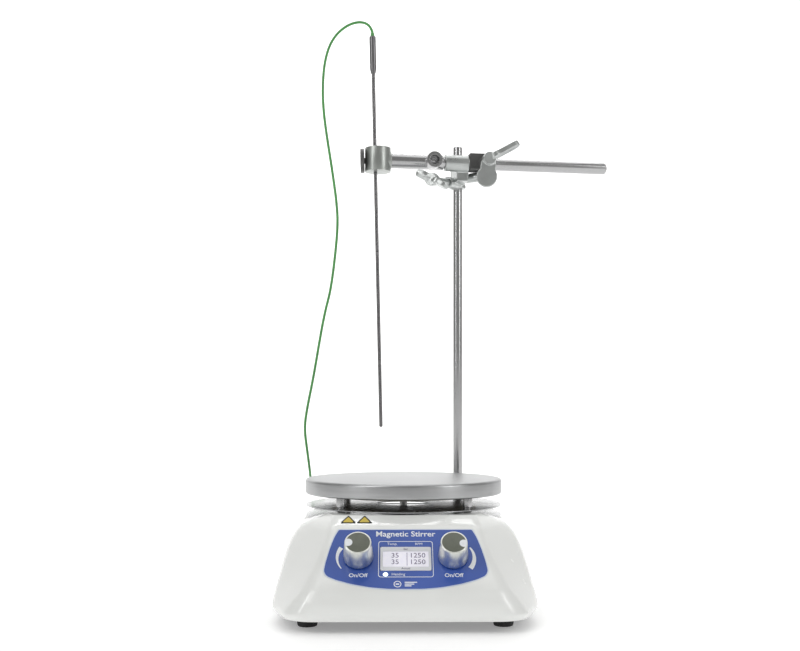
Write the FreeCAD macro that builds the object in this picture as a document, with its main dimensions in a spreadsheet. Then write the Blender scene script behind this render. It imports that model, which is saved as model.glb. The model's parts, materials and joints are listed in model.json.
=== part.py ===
import FreeCAD
import Part
import Sketcher

import math
import os
import re

os.makedirs("parts", exist_ok=True)
doc = FreeCAD.newDocument("magnetic_stirrer")
V = FreeCAD.Vector

# ---------------------------------------------------------------- driving dimensions, mm
# The origin is on the bench under the plate's axis: +X right, +Y to the rear, +Z up.
DIMENSIONS = {
    # housing
    "wall": 3,
    "front_wall_run": 4.2,
    "housing_bottom": 9,
    "base_plate_thickness": 1.6,
    "recess_radius": 83,
    "recess_floor": 66,
    "corner_radius": 26,
    "back_face_y": 125,
    # sloped control panel and the brow above it
    "panel_bottom_y": -137,
    "panel_bottom_z": 30,
    "panel_top_y": -99,
    "panel_top_z": 69.4,
    "brow_y": -83,
    "brow_z": 77.6,
    "label_thickness": 0.4,
    "label_gap": 0.01,
    "knob_x": 33.8,
    "knob_v": 28.6,
    "lcd_half": 18.3,
    "lcd_low": 17.2,
    "lcd_height": 20.8,
    "window_half": 16.4,
    "window_low": 20.8,
    "window_height": 13.4,
    "led_x": -14.4,
    "led_v": 14.2,
    "led_radius": 1.7,
    # hot plate stack
    "plate_radius": 80,
    "plate_top": 100,
    "plate_bottom": 88,
    "plate_edge": 2.6,
    "shield_radius": 79.5,
    "shield_thickness": 1,
    "upper_shield_z": 78.3,
    "lower_shield_z": 70.3,
    "shield_hole": 22,
    "standoff_xy": 49,
    "standoff_radius": 4,
    "heater_outer": 60,
    "heater_inner": 26,
    "heater_depth": 2,
    "lead_tube_radius": 3,
    # stirring drive
    "motor_radius": 21,
    "motor_bottom": 13,
    "motor_top": 44,
    "motor_shaft_radius": 3,
    "carrier_radius": 36,
    "carrier_bottom": 49,
    "carrier_top": 55,
    "magnet_radius": 7,
    "magnet_depth": 5,
    "magnet_offset": 26,
    # running fit of a shaft in a hole, on the radius
    "fit": 0.05,
    # support rod and its socket
    "rod_x": 49,
    "rod_y": 73,
    "rod_radius": 4,
    "rod_bottom": 54.05,
    "rod_top": 387.6,
    "socket_seat": 71.5,
    "socket_radius": 8,
    "socket_flange": 11,
    # boss head, arm and clamp: arm coordinates run from the rod's side of the arm
    "arm_angle": 9,
    "arm_offset": 24,
    "arm_z": 368,
    "arm_radius": 5,
    "arm_left": -45,
    "arm_right": 128.2,
    "head_left": -17,
    "head_right": 4,
    "jaw_right": 22,
    "head_radius": 7,
    "rod_sleeve_radius": 6.4,
    "rod_sleeve_bottom": 350.5,
    "rod_sleeve_top": 374,
    "rod_screw_z": 354.5,
    "arm_screw_s": 17,
    "screw_radius": 3,
    "lug_radius": 4.2,
    "wing_hub_radius": 5.5,
    "wing_hub_length": 7,
    "stem_left": -66,
    "stem_right": -18.6,
    "stem_radius": 6.2,
    "stem_boss_s": -28.1,
    "stem_boss_radius": 6.8,
    "clamp_s": -75,
    "clamp_radius": 11,
    "clamp_bottom": 358.4,
    "clamp_top": 378.4,
    "thumb_radius": 10.25,
    "thumb_start": 9.3,
    "thumb_end": 12.5,
    # temperature probe
    "probe_x": -23.64,
    "probe_y": 37.6,
    "probe_z": 368,
    "probe_lean": 1.24,
    "probe_radius": 1.5,
    "probe_below": 227.4,
    "probe_above": 74,
    "handle_above": 106,
    "handle_radius": 2.75,
    # knobs
    "knob_base": 1.6,
    "knob_top": 18.6,
    "knob_low_radius": 10.75,
    "knob_top_radius": 9.5,
    "knob_shaft_radius": 3,
    # rear sockets
    "socket_z": 36,
    "inlet_x": 45,
    "rocker_x": 4,
    "rocker_pin_radius": 1,
    "probe_socket_x": -56,
    "plug_length": 22,
    "cable_diameter": 2.2,
    # feet
    "foot_x": 71,
    "foot_front_y": -106,
    "foot_back_y": 100,
    "foot_radius": 8.5,
}

# Outer sections of the housing: height, front edge, half width of the front face, where the
# cheek meets the side, half width of the side, rear edge, radius of the front ridge. A front edge
# of None lies on the panel's plane.
SECTIONS = [
    ("foot", 9, -138.5, 82, -96, 95.5, 122, 24),
    ("lip", 12.5, -141, 83, -96, 98, 125, 24),
    ("skirt", 22, -140.4, 76, -90, 96.4, 125, 20),
    ("sill", 30, None, 70.5, -84, 94.6, 125, 14),
    ("middle", 46, None, 62.5, -76, 90.8, 125, 10),
    ("waist", 57, None, 58, -70, 87.2, 124, 8),
    ("shoulder", 64, None, 55.8, -64, 83.4, 122, 7),
    ("deck", 69.4, None, 54.2, -60, 79, 118, 7),
    ("brow", 77.6, -83, 52.8, -66, 58, -10, 7),
]
SECTION_SIZES = ("height", "front", "front_half", "cheek", "side_half", "rear", "ridge")


def panel_front(height):
    """The front edge where the panel's plane crosses a height."""
    low, high = DIMENSIONS["panel_bottom_z"], DIMENSIONS["panel_top_z"]
    near, far = DIMENSIONS["panel_bottom_y"], DIMENSIONS["panel_top_y"]
    return near + (far - near) * (height - low) / (high - low)


for section in SECTIONS:
    for size, number in zip(SECTION_SIZES, section[1:]):
        if number is None:
            number = panel_front(section[1])
        DIMENSIONS[f"{section[0]}_{size}"] = number

sheet = doc.addObject("Spreadsheet::Sheet", "dims")
for row, (alias, number) in enumerate(DIMENSIONS.items(), start=1):
    sheet.set(f"A{row}", alias)
    sheet.set(f"B{row}", str(number))
    sheet.setAlias(f"B{row}", alias)
doc.recompute()


def mm(alias):
    return float(sheet.get(alias))


def bound(expression):
    """The expression with each alias written as a reference to the sheet."""
    return re.sub(
        r"[a-z][a-z_]*",
        lambda found: "dims." + found.group() if found.group() in DIMENSIONS else found.group(),
        str(expression),
    )


# ---------------------------------------------------------------- frames of the tilted pieces
X_AXIS, Y_AXIS, Z_AXIS = V(1, 0, 0), V(0, 1, 0), V(0, 0, 1)

panel_rise = mm("panel_top_z") - mm("panel_bottom_z")
panel_run = mm("panel_top_y") - mm("panel_bottom_y")
panel_tilt = math.degrees(math.atan2(panel_rise, panel_run))
PANEL = FreeCAD.Placement(
    V(0, mm("panel_bottom_y"), mm("panel_bottom_z")), FreeCAD.Rotation(X_AXIS, panel_tilt)
)
brow_tilt = math.degrees(
    math.atan2(mm("brow_z") - mm("panel_top_z"), mm("brow_y") - mm("panel_top_y"))
)
BROW = FreeCAD.Placement(
    V(0, mm("panel_top_y"), mm("panel_top_z")), FreeCAD.Rotation(X_AXIS, brow_tilt)
)
# Arm frame: X along the arm, Y from the arm back to the support rod, Z up, origin on the arm's
# axis where it passes the rod.
arm_turn = FreeCAD.Rotation(Z_AXIS, mm("arm_angle"))
arm_foot = arm_turn.multVec(V(0, -mm("arm_offset"), 0))
ARM = FreeCAD.Placement(
    V(mm("rod_x"), mm("rod_y"), mm("arm_z")) + arm_foot, arm_turn
)
# Probe frame: Z up along the probe, origin where the clamp grips it.
PROBE = FreeCAD.Placement(
    V(mm("probe_x"), mm("probe_y"), mm("probe_z")),
    FreeCAD.Rotation(Y_AXIS, -mm("probe_lean")),
)
BACK = FreeCAD.Placement(V(0, mm("back_face_y"), mm("socket_z")), FreeCAD.Rotation(X_AXIS, -90))


# Direction of the wing screw that holds the support rod.
ROD_SCREW_AXIS = (-0.432, -0.896, -0.098)


# ---------------------------------------------------------------- building blocks
def bind(item, **expressions):
    for name, expression in expressions.items():
        item.setExpression(name, bound(expression))
    return item


def seat(item, at, axis=Z_AXIS):
    """Turns an item's Z axis to axis and binds its place."""
    item.Placement = FreeCAD.Placement(V(), FreeCAD.Rotation(Z_AXIS, axis))
    for letter, expression in zip("xyz", at):
        item.setExpression(f"Placement.Base.{letter}", bound(expression))
    return item


def cylinder(radius, length, at=(0, 0, 0), axis=Z_AXIS):
    item = bind(doc.addObject("Part::Cylinder", "cylinder"), Radius=radius, Height=length)
    return seat(item, at, axis)


def cone(low_radius, top_radius, length, at=(0, 0, 0), axis=Z_AXIS):
    item = doc.addObject("Part::Cone", "cone")
    bind(item, Radius1=low_radius, Radius2=top_radius, Height=length)
    return seat(item, at, axis)


def box(width, depth, height, at):
    """A box centred on at in X and Y, with its underside at at's height."""
    item = bind(doc.addObject("Part::Box", "box"), Length=width, Width=depth, Height=height)
    x, y, z = at
    return seat(item, (f"{x} - ({width}) / 2", f"{y} - ({depth}) / 2", z))


def cut(base, *tools):
    item = doc.addObject("Part::Cut", "cut")
    item.Base = base
    item.Tool = tools[0] if len(tools) == 1 else fuse(*tools)
    return item


def fuse(*items):
    item = doc.addObject("Part::MultiFuse", "fuse")
    item.Shapes = list(items)
    return item


def group(*items):
    item = doc.addObject("Part::Compound", "group")
    item.Links = list(items)
    return item


def ring(outer, inner, length, at=(0, 0, 0), axis=Z_AXIS):
    return cut(cylinder(outer, length, at, axis), cylinder(inner, length, at, axis))


def outline(sketch, corners):
    """Closed straight outline with every corner bound to its two expressions."""
    count = len(corners)
    for i in range(count):
        start, end = (2 * math.pi * k / count for k in (i, i + 1))
        sketch.addGeometry(
            Part.LineSegment(
                V(40 * math.cos(start), 40 * math.sin(start), 0),
                V(40 * math.cos(end), 40 * math.sin(end), 0),
            )
        )
    for i in range(count):
        sketch.addConstraint(Sketcher.Constraint("Coincident", i, 2, (i + 1) % count, 1))
    for i, (across, up) in enumerate(corners):
        for kind, expression in (("DistanceX", across), ("DistanceY", up)):
            number = sketch.addConstraint(Sketcher.Constraint(kind, -1, 1, i, 1, 1.0))
            sketch.setExpression(f"Constraints[{number}]", bound(expression))


def sketched(role, corners):
    """A body with one outline on the origin plane of that role."""
    body = doc.addObject("PartDesign::Body", "body")
    sketch = body.newObject("Sketcher::SketchObject", "profile")
    plane = next(item for item in body.Origin.OriginFeatures if item.Role == role)
    sketch.AttachmentSupport = (plane, [""])
    sketch.MapMode = "FlatFace"
    outline(sketch, corners)
    return body, sketch


def turned(corners, at=(0, 0, 0), axis=Z_AXIS):
    """A body turned about its own Z axis from (radius, height) corners."""
    body, sketch = sketched("XZ_Plane", corners)
    turn = body.newObject("PartDesign::Revolution", "turn")
    turn.Profile = sketch
    turn.ReferenceAxis = (sketch, ["V_Axis"])
    turn.Angle = 360
    return seat(body, at, axis)


def padded(corners, thickness, at=(0, 0, 0)):
    """A flat body padded up from (x, y) corners."""
    body, sketch = sketched("XY_Plane", corners)
    pad = body.newObject("PartDesign::Pad", "pad")
    pad.Profile = sketch
    pad.setExpression("Length", bound(thickness))
    return seat(body, at)


NODES = []


def node(name, *items, frame=None):
    """Names a finished sub-part and places it in the row frame."""
    item = group(*items)
    item.Label = name
    item.Placement = frame or FreeCAD.Placement()
    NODES.append(item)
    return item


def corners_of_square(half, *rest):
    """The four points (+-half, +-half) with anything that follows them."""
    return [(f"{sx} * {half}", f"{sy} * {half}", *rest) for sx in (-1, 1) for sy in (-1, 1)]


# ---------------------------------------------------------------- housing
def section_wire(name, inset=0, front_inset=0, height=None):
    """One horizontal section: front face, cheeks, sides and rear, all corners rounded."""
    front = mm(f"{name}_front") + front_inset
    half_front = mm(f"{name}_front_half") - inset
    cheek = mm(f"{name}_cheek")
    half_side = mm(f"{name}_side_half") - inset
    rear = mm(f"{name}_rear") - inset
    level = mm(f"{name}_height") if height is None else height
    corner = mm("corner_radius")
    right = [
        (half_front, front, mm(f"{name}_ridge")),
        (half_side, cheek, corner),
        (half_side, rear, corner),
    ]
    points = right + [(-x, y, radius) for x, y, radius in reversed(right)]
    edges, last = [], None
    rounded = []
    for i, (x, y, radius) in enumerate(points):
        here = V(x, y, level)
        before = V(points[i - 1][0], points[i - 1][1], level) - here
        after_x, after_y, _ = points[(i + 1) % len(points)]
        after = V(after_x, after_y, level) - here
        half_turn = before.getAngle(after) / 2
        reach = radius / math.tan(half_turn)
        middle = (before.normalize() + after.normalize()).normalize()
        top = here + middle * (radius / math.sin(half_turn) - radius)
        rounded.append((here + before * reach, top, here + after * reach))
    for start, top, end in rounded:
        if last is not None:
            edges.append(Part.makeLine(last, start))
        edges.append(Part.Arc(start, top, end).toShape())
        last = end
    edges.append(Part.makeLine(last, rounded[0][0]))
    return Part.Wire(edges)


def lofted(name, wires):
    item = doc.addObject("Part::Feature", name)
    item.Shape = Part.makeLoft(wires, True, True)
    return item


names = [section[0] for section in SECTIONS]
housing_block = lofted("housing_block", [section_wire(name) for name in names])
wall, front_run = mm("wall"), mm("front_wall_run")
hollow_top = mm("recess_floor") - wall
housing_hollow = lofted(
    "housing_hollow",
    [section_wire("foot", wall, front_run, mm("housing_bottom") - 1)]
    + [section_wire(name, wall, front_run) for name in names[1:6]]
    + [section_wire("shoulder", wall, front_run, hollow_top)],
)


def panel_hole(item):
    """A tool drawn in the panel's frame, placed in the row frame."""
    holder = group(item)
    holder.Placement = PANEL
    return holder


def back_hole(item):
    holder = group(item)
    holder.Placement = BACK
    return holder


shell_tools = [
    housing_hollow,
    cylinder("recess_radius", 30, (0, 0, "recess_floor")),
    cylinder("lead_tube_radius + fit", 20, (0, 0, "recess_floor - 10")),
    cylinder("socket_radius + fit", 40, ("rod_x", "rod_y", "socket_seat - 20")),
    cylinder("socket_flange + 0.3", 20, ("rod_x", "rod_y", "socket_seat")),
    panel_hole(box("2 * lcd_half", "lcd_height", 20, (0, "lcd_low + lcd_height / 2", -10))),
    panel_hole(cylinder("led_radius + 0.1", 20, ("led_x", "led_v", -10))),
    back_hole(box(28, 24, 20, ("inlet_x", 0, -10))),
    back_hole(box(19, 13, 20, ("rocker_x", 0, -10))),
    back_hole(cylinder(6, 20, ("probe_socket_x", 0, -10))),
]
for side in (-1, 1):
    knob_hole = cylinder(4.5, 20, (f"{side} * knob_x", "knob_v", -10))
    shell_tools.append(panel_hole(knob_hole))
for x, y, z in corners_of_square("standoff_xy", "recess_floor - 10"):
    shell_tools.append(cylinder(1.9, 20, (x, y, z)))

BASE_SCREWS = [(-88, -60), (88, -60), (-88, 78), (88, 78)]
boss_bottom = "housing_bottom + base_plate_thickness + 0.3"
shell_bosses = [
    cut(
        cylinder(5, 20, (x, y, boss_bottom)),
        cylinder(1.6, 20, (x, y, boss_bottom)),
    )
    for x, y in BASE_SCREWS
]
node("housing_shell", fuse(cut(housing_block, *shell_tools), *shell_bosses))

base_wire = section_wire("foot", wall + 0.4, wall + 1.2, mm("housing_bottom") + 0.2)
base_blank = doc.addObject("Part::Feature", "base_blank")
base_blank.Shape = Part.Face(base_wire).extrude(V(0, 0, mm("base_plate_thickness")))
base_holes = [cylinder(1.7, 10, (x, y, 5)) for x, y in BASE_SCREWS]
base_vents = [box(40, 3, 10, (0, -95 + 10 * i, 5)) for i in range(5)]
node("base_plate", cut(base_blank, *base_holes, *base_vents))
foot_profile = [
    (0, 0),
    ("foot_radius - 1", 0),
    ("foot_radius", 1),
    ("foot_radius", "housing_bottom - 0.8"),
    ("foot_radius - 1", "housing_bottom + 0.2"),
    (0, "housing_bottom + 0.2"),
]
node(
    "rubber_feet",
    *[
        turned(foot_profile, (x, y, 0))
        for x in ("-foot_x", "foot_x")
        for y in ("foot_front_y", "foot_back_y")
    ],
)


# ---------------------------------------------------------------- front panel
label_right = [
    (12, 1.2),
    (25, 2.5),
    (38.3, 5.3),
    (49.9, 8.9),
    (56.8, 12.6),
    (58.7, 17),
    (57.7, 24.6),
    (55.1, 36.6),
    (52.3, 46.7),
    (49.1, 54.1),
]
label_corners = label_right + [(-x, v) for x, v in reversed(label_right)]
label_tools = [
    box("2 * lcd_half", "lcd_height", 4, (0, "lcd_low + lcd_height / 2", -2)),
    cylinder("led_radius + 0.1", 4, ("led_x", "led_v", -2)),
    cylinder(4.5, 4, ("-knob_x", "knob_v", -2)),
    cylinder(4.5, 4, ("knob_x", "knob_v", -2)),
]
label_blank = padded(label_corners, "label_thickness", (0, 0, "label_gap"))
node("panel_label", cut(label_blank, *label_tools), frame=PANEL)

lcd_middle = "lcd_low + lcd_height / 2"
window_middle = "window_low + window_height / 2"
window_hole = box("2 * window_half", "window_height", 10, (0, window_middle, -5))
lcd_frame_blank = box("2 * lcd_half - 0.1", "lcd_height - 0.1", 3.6, (0, lcd_middle, -3))
node("lcd_bezel", cut(lcd_frame_blank, window_hole), frame=PANEL)
window_size = ("2 * window_half - 0.1", "window_height - 0.1")
node("lcd_window", box(*window_size, 0.8, (0, window_middle, -0.6)), frame=PANEL)
node("lcd_module", box("2 * lcd_half", "lcd_height", 9.4, (0, lcd_middle, -12.4)), frame=PANEL)
led = fuse(
    cylinder("led_radius", 7, ("led_x", "led_v", -6)),
    cylinder("led_radius + 0.6", 1, ("led_x", "led_v", -7)),
)
node("status_led", led, frame=PANEL)
node("display_board", box(96, 42, 1.6, (0, 27, -14)), frame=PANEL)

encoders = []
for name, side in (("temp", -1), ("speed", 1)):
    centre = (f"{side} * knob_x", "knob_v")
    encoder_body = fuse(
        box(13, 13, 7.4, (*centre, -12.4)), cylinder(4.4, 5.4, (*centre, -5))
    )
    encoder_bores = [
        cylinder("knob_shaft_radius + fit", 10, (*centre, -7)),
        cylinder(5.2, 5, (*centre, -11.7)),
    ]
    encoders.append(cut(encoder_body, *encoder_bores))
    node(
        f"{name}_plunger",
        ring(4.6, "knob_shaft_radius + fit", 2, (*centre, -9.5)),
        frame=PANEL,
    )
    node(f"{name}_shaft", cylinder("knob_shaft_radius", 24.3, (*centre, -10.3)), frame=PANEL)
    knob_profile = [
        ("knob_shaft_radius", "knob_base"),
        ("knob_low_radius", "knob_base"),
        ("knob_top_radius", "knob_top - 0.6"),
        ("knob_top_radius - 0.6", "knob_top"),
        ("knob_top_radius - 0.8", "knob_top"),
        ("knob_top_radius - 0.8", "knob_top - 0.8"),
        (0, "knob_top - 0.8"),
        (0, 14),
        ("knob_shaft_radius", 14),
    ]
    node(f"{name}_knob", turned(knob_profile, (*centre, 0)), frame=PANEL)
    pointer_x = f"{side} * (knob_x + 6.6)"
    node(
        f"{name}_knob_cap",
        cylinder("knob_top_radius - 0.8", 0.8, (*centre, "knob_top - 0.8")),
        cylinder(1.9, 0.3, (pointer_x, "knob_v", "knob_top")),
        frame=PANEL,
    )
node("knob_encoders", *encoders, frame=PANEL)


def caution_sticker(x):
    item = doc.addObject("Part::Prism", "sticker")
    item.Polygon = 3
    bind(item, Circumradius=6.9, Height=0.3)
    item.Placement = FreeCAD.Placement(V(x, 10.6, 0), FreeCAD.Rotation(Z_AXIS, 90))
    return item


node("caution_stickers", caution_sticker(-42), caution_sticker(-30), frame=BROW)


# ---------------------------------------------------------------- hot plate stack
def plate_profile(outer, low, top, inner, edge):
    """Half section of a disc with a hole and bevelled outer corners."""
    return [
        (inner, low),
        (f"{outer} - {edge}", low),
        (outer, f"{low} + {edge}"),
        (outer, f"{top} - {edge}"),
        (f"{outer} - {edge}", top),
        (inner, top),
    ]


node("hot_plate", turned(plate_profile("plate_radius", "plate_bottom", "plate_top", 0, "plate_edge")))
SHIELDS = {"upper_heat_shield": "upper_shield_z", "lower_heat_shield": "lower_shield_z"}
for name, height in SHIELDS.items():
    top = f"{height} + shield_thickness"
    disc = turned(plate_profile("shield_radius", height, top, "shield_hole", 0.3))
    holes = [
        cylinder("standoff_radius + 0.2", 10, (x, y, f"{height} - 5"))
        for x, y in corners_of_square("standoff_xy")
    ]
    node(name, cut(disc, *holes))
heater_z = "plate_bottom - heater_depth"
node(
    "heating_element",
    ring("heater_outer", "heater_inner", "heater_depth", (0, 0, heater_z)),
)
node(
    "plate_sensor",
    cylinder(6, 4, (14, 0, "plate_bottom - 4")),
)
node(
    "heater_lead_tube",
    ring(
        "lead_tube_radius",
        "lead_tube_radius - 0.8",
        "plate_bottom - recess_floor + 4",
        (0, 0, "recess_floor - 4"),
    ),
)
standoff_length = "plate_bottom - recess_floor"
node(
    "plate_standoffs",
    *[
        cut(
            cylinder("standoff_radius", standoff_length, (x, y, "recess_floor")),
            cylinder(1.9, 12, (x, y, "recess_floor - 1")),
        )
        for x, y in corners_of_square("standoff_xy")
    ],
)
node(
    "standoff_screws",
    *[
        fuse(
            cylinder(3.5, 2.4, (x, y, "recess_floor - wall - 2.4")),
            cylinder(1.8, 12, (x, y, "recess_floor - wall")),
        )
        for x, y in corners_of_square("standoff_xy")
    ],
)


# ---------------------------------------------------------------- stirring drive
node(
    "motor_bracket",
    cut(
        box(70, 64, 2.2, (0, 0, 10.8)),
        *[cylinder(1.7, 10, (x, y, 8)) for x, y in corners_of_square(27)],
    ),
)
node(
    "chassis_screws",
    *[
        fuse(
            cylinder(3, 2, (x, y, "housing_bottom - 1.8")),
            cylinder(1.5, 14, (x, y, "housing_bottom")),
        )
        for x, y in BASE_SCREWS
    ],
    *[
        fuse(cylinder(3, 2, (x, y, 13)), cylinder(1.6, 2.2, (x, y, 10.8)))
        for x, y in corners_of_square(27)
    ],
)
motor_can = cut(
    cylinder("motor_radius", "motor_top - motor_bottom", (0, 0, "motor_bottom")),
    cylinder("motor_shaft_radius + fit", 40, (0, 0, "motor_bottom + 3")),
    cylinder(8.02, 5, (0, 0, "motor_top - 4")),
)
node("motor_body", motor_can)
node("motor_bearing", ring(8, "motor_shaft_radius + fit", 4, (0, 0, "motor_top - 4")))
node(
    "motor_shaft",
    cylinder("motor_shaft_radius", "carrier_top - motor_bottom - 4", (0, 0, "motor_bottom + 4")),
)
magnet_places = [("magnet_offset", 0), ("-magnet_offset", 0)]
carrier_blank = fuse(
    cylinder("carrier_radius", "carrier_top - carrier_bottom", (0, 0, "carrier_bottom")),
    cylinder(8, 4, (0, 0, "carrier_bottom - 4")),
)
carrier_tools = [cylinder("motor_shaft_radius + 0.02", 20, (0, 0, "carrier_bottom - 8"))]
carrier_tools += [
    cylinder("magnet_radius", 10, (x, y, "carrier_top - magnet_depth")) for x, y in magnet_places
]
node("magnet_carrier", cut(carrier_blank, *carrier_tools))
node(
    "drive_magnets",
    *[
        cylinder("magnet_radius", "magnet_depth", (x, y, "carrier_top - magnet_depth"))
        for x, y in magnet_places
    ],
)


# ---------------------------------------------------------------- electronics
board_middle = (-58, 18)
board_legs = [(-78, -24), (-38, -24), (-78, 60), (-38, 60)]
node("board_standoffs", *[cylinder(3, 9.2, (x, y, 10.8)) for x, y in board_legs])
node(
    "control_board",
    box(50, 100, 1.6, (*board_middle, 20)),
    box(16, 30, 20, (-72, 30, 21.6)),
    box(12, 12, 12, (-46, 42, 21.6)),
    cylinder(6, 18, (-48, 14, 21.6)),
    cylinder(6, 18, (-48, -4, 21.6)),
    box(20, 10, 3, (-64, -14, 21.6)),
)
node(
    "transformer",
    box(46, 40, 12, (57, 50, 22)),
    cut(box(32, 28, 34, (57, 50, 11)), box(60, 60, 12, (57, 50, 22))),
)


# ---------------------------------------------------------------- rear face
inlet_blank = fuse(
    box(27.6, 23.6, 20, ("inlet_x", 0, -20)), box(36, 30, 2, ("inlet_x", 0, 0))
)
inlet_mouth = box(24, 14, 18, ("inlet_x", 3, -16))
fuse_slot = box(22, 4.4, 14, ("inlet_x", -8.2, -12))
node("power_inlet", cut(inlet_blank, inlet_mouth, fuse_slot), frame=BACK)
inlet_pins = [box(2, 4, 10, (f"inlet_x + {x}", y, -16)) for x, y in ((-7, 1), (0, 5), (7, 1))]
node("inlet_pins", *inlet_pins, frame=BACK)
fuse_drawer = box(21.8, 4.2, 14.4, ("inlet_x", -8.2, -11.8))
node("fuse_drawer", fuse_drawer, frame=BACK)
rocker_blank = fuse(
    box(18.8, 12.8, 14, ("rocker_x", 0, -14)), box(23, 16, 1.6, ("rocker_x", 0, 0))
)
rocker_tools = [
    box(16.6, 10.6, 16, ("rocker_x", 0, -9)),
    cylinder("rocker_pin_radius + fit", 12.2, ("rocker_x", 6.1, 0), -Y_AXIS),
]
node("switch_frame", cut(rocker_blank, *rocker_tools), frame=BACK)
ROCKER_TILT = 8
rocker_block = fuse(
    cut(
        box(15, 10, 7, (0, 0, -3.5)),
        cylinder(24, 20, (0, 10, 25.8), -Y_AXIS),
    ),
    cylinder("rocker_pin_radius", 12, (0, 6, 0), -Y_AXIS),
)
rocker_seat = BACK.multiply(
    FreeCAD.Placement(V(mm("rocker_x"), 0, 0), FreeCAD.Rotation(Y_AXIS, -ROCKER_TILT))
)
node("power_rocker", rocker_block, frame=rocker_seat)
socket_profile = [
    ("3.6", -8),
    (5.9, -8),
    (5.9, 0),
    (8, 0),
    (8, 1.6),
    (3.6, 1.6),
]
node("probe_socket", turned(socket_profile, ("probe_socket_x", 0, 0)), frame=BACK)
plug_profile = [
    (0, -7),
    (3.5, -7),
    (3.5, 1.8),
    (5, 1.8),
    (5, "plug_length - 8"),
    (3, "plug_length - 4"),
    (2, "plug_length"),
    (0, "plug_length"),
]
node("probe_plug", turned(plug_profile, ("probe_socket_x", 0, 0)), frame=BACK)


# ---------------------------------------------------------------- support rod
at_rod = ("rod_x", "rod_y")
rod_profile = [
    (0, "rod_bottom"),
    ("rod_radius", "rod_bottom"),
    ("rod_radius", "rod_top - 1"),
    ("rod_radius - 1", "rod_top"),
    (0, "rod_top"),
]
node("support_rod", turned(rod_profile, (*at_rod, 0)))
rod_socket_profile = [
    (0, "rod_bottom - 2"),
    ("socket_radius", "rod_bottom - 2"),
    ("socket_radius", "socket_seat"),
    ("socket_flange", "socket_seat"),
    ("socket_flange", "socket_seat + 3"),
    ("socket_flange - 2.5", "socket_seat + 5"),
    ("rod_radius + fit", "socket_seat + 5"),
    ("rod_radius + fit", "rod_bottom - 0.05"),
    (0, "rod_bottom - 0.05"),
]
node("rod_socket", turned(rod_socket_profile, (*at_rod, 0)))
node(
    "rod_socket_nut",
    ring("socket_flange + 1", "socket_radius + fit", 5, (*at_rod, "recess_floor - wall - 5")),
)


# ---------------------------------------------------------------- boss head, in the arm's frame
ALONG = X_AXIS


def in_arm_frame(x, y, z):
    """A direction of the row frame, as the arm's frame sees it."""
    return arm_turn.inverted().multVec(V(x, y, z)).normalize()


sleeve_low = "rod_sleeve_bottom - arm_z"
sleeve_tall = "rod_sleeve_top - rod_sleeve_bottom"
head_length = "head_right - head_left"
rod_screw_place = (0, "arm_offset", "rod_screw_z - arm_z")
rod_screw_direction = in_arm_frame(*ROD_SCREW_AXIS)
lug_place = (0, 16, -10.4)
lug_direction = V(0.75, -0.66, 0).normalize()
head_blank = fuse(
    cylinder("head_radius", head_length, ("head_left", 0, 0), ALONG),
    cylinder("rod_sleeve_radius", sleeve_tall, (0, "arm_offset", sleeve_low)),
    cylinder("rod_sleeve_radius + 0.8", 3, (0, "arm_offset", sleeve_low)),
    box(10, "arm_offset", f"{sleeve_tall} - 6", ("head_right - 5", "arm_offset / 2", -15)),
    cylinder(5, 24, rod_screw_place, rod_screw_direction),
    cylinder("lug_radius", 22, lug_place, lug_direction),
)
arm_bore = cylinder("arm_radius + fit", 200, (-100, 0, 0), ALONG)
rod_bore = cylinder("rod_radius + fit", 100, (0, "arm_offset", -50))
rod_screw_bore = cylinder("screw_radius + fit", 40, rod_screw_place, rod_screw_direction)
node("boss_head", cut(head_blank, arm_bore, rod_bore, rod_screw_bore), frame=ARM)
jaw_middle = "(head_right + jaw_right) / 2"
jaw_blank = fuse(
    box("jaw_right - head_right", 15, 14, (jaw_middle, 0, -6)),
    cylinder(5, 12, ("arm_screw_s", 0, 0), -Y_AXIS),
)
jaw_bores = [
    cylinder("lug_radius + fit", 22.5, lug_place, lug_direction),
    cylinder("arm_radius + fit", 200, (-100, 0, 0), ALONG),
    cylinder("screw_radius + fit", 30, ("arm_screw_s", 0, 0), -Y_AXIS),
]
node("boss_jaw", cut(jaw_blank, *jaw_bores), frame=ARM)


def paddle(angle, twist, near, far, thickness, height):
    """A flat wing through two round ends, each (reach, radius), twisted about its own length."""
    (near_reach, near_radius), (far_reach, far_radius) = near, far
    under = -thickness / 2
    length = far_reach - near_reach
    item = fuse(
        cylinder(near_radius, thickness, (near_reach, 0, under)),
        cylinder(far_radius, thickness, (far_reach, 0, under)),
        box(length, 2 * min(near_radius, far_radius), thickness,
            (near_reach + length / 2, 0, under)),
    )
    turn = FreeCAD.Rotation(Z_AXIS, angle).multiply(FreeCAD.Rotation(X_AXIS, twist))
    item.Placement = FreeCAD.Placement(V(0, 0, height), turn)
    return item


def wing_screw(name, screw_frame, tip, hub, wings):
    """Screw along its own +Z from tip to a hub, which carries the wings."""
    pieces = [
        cylinder("screw_radius", hub + 3 - tip, (0, 0, tip)),
        cylinder("wing_hub_radius", "wing_hub_length", (0, 0, hub)),
    ]
    middle = hub + mm("wing_hub_length") / 2
    pieces += [paddle(*wing, middle) for wing in wings]
    node(name, fuse(*pieces), frame=screw_frame)


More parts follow.
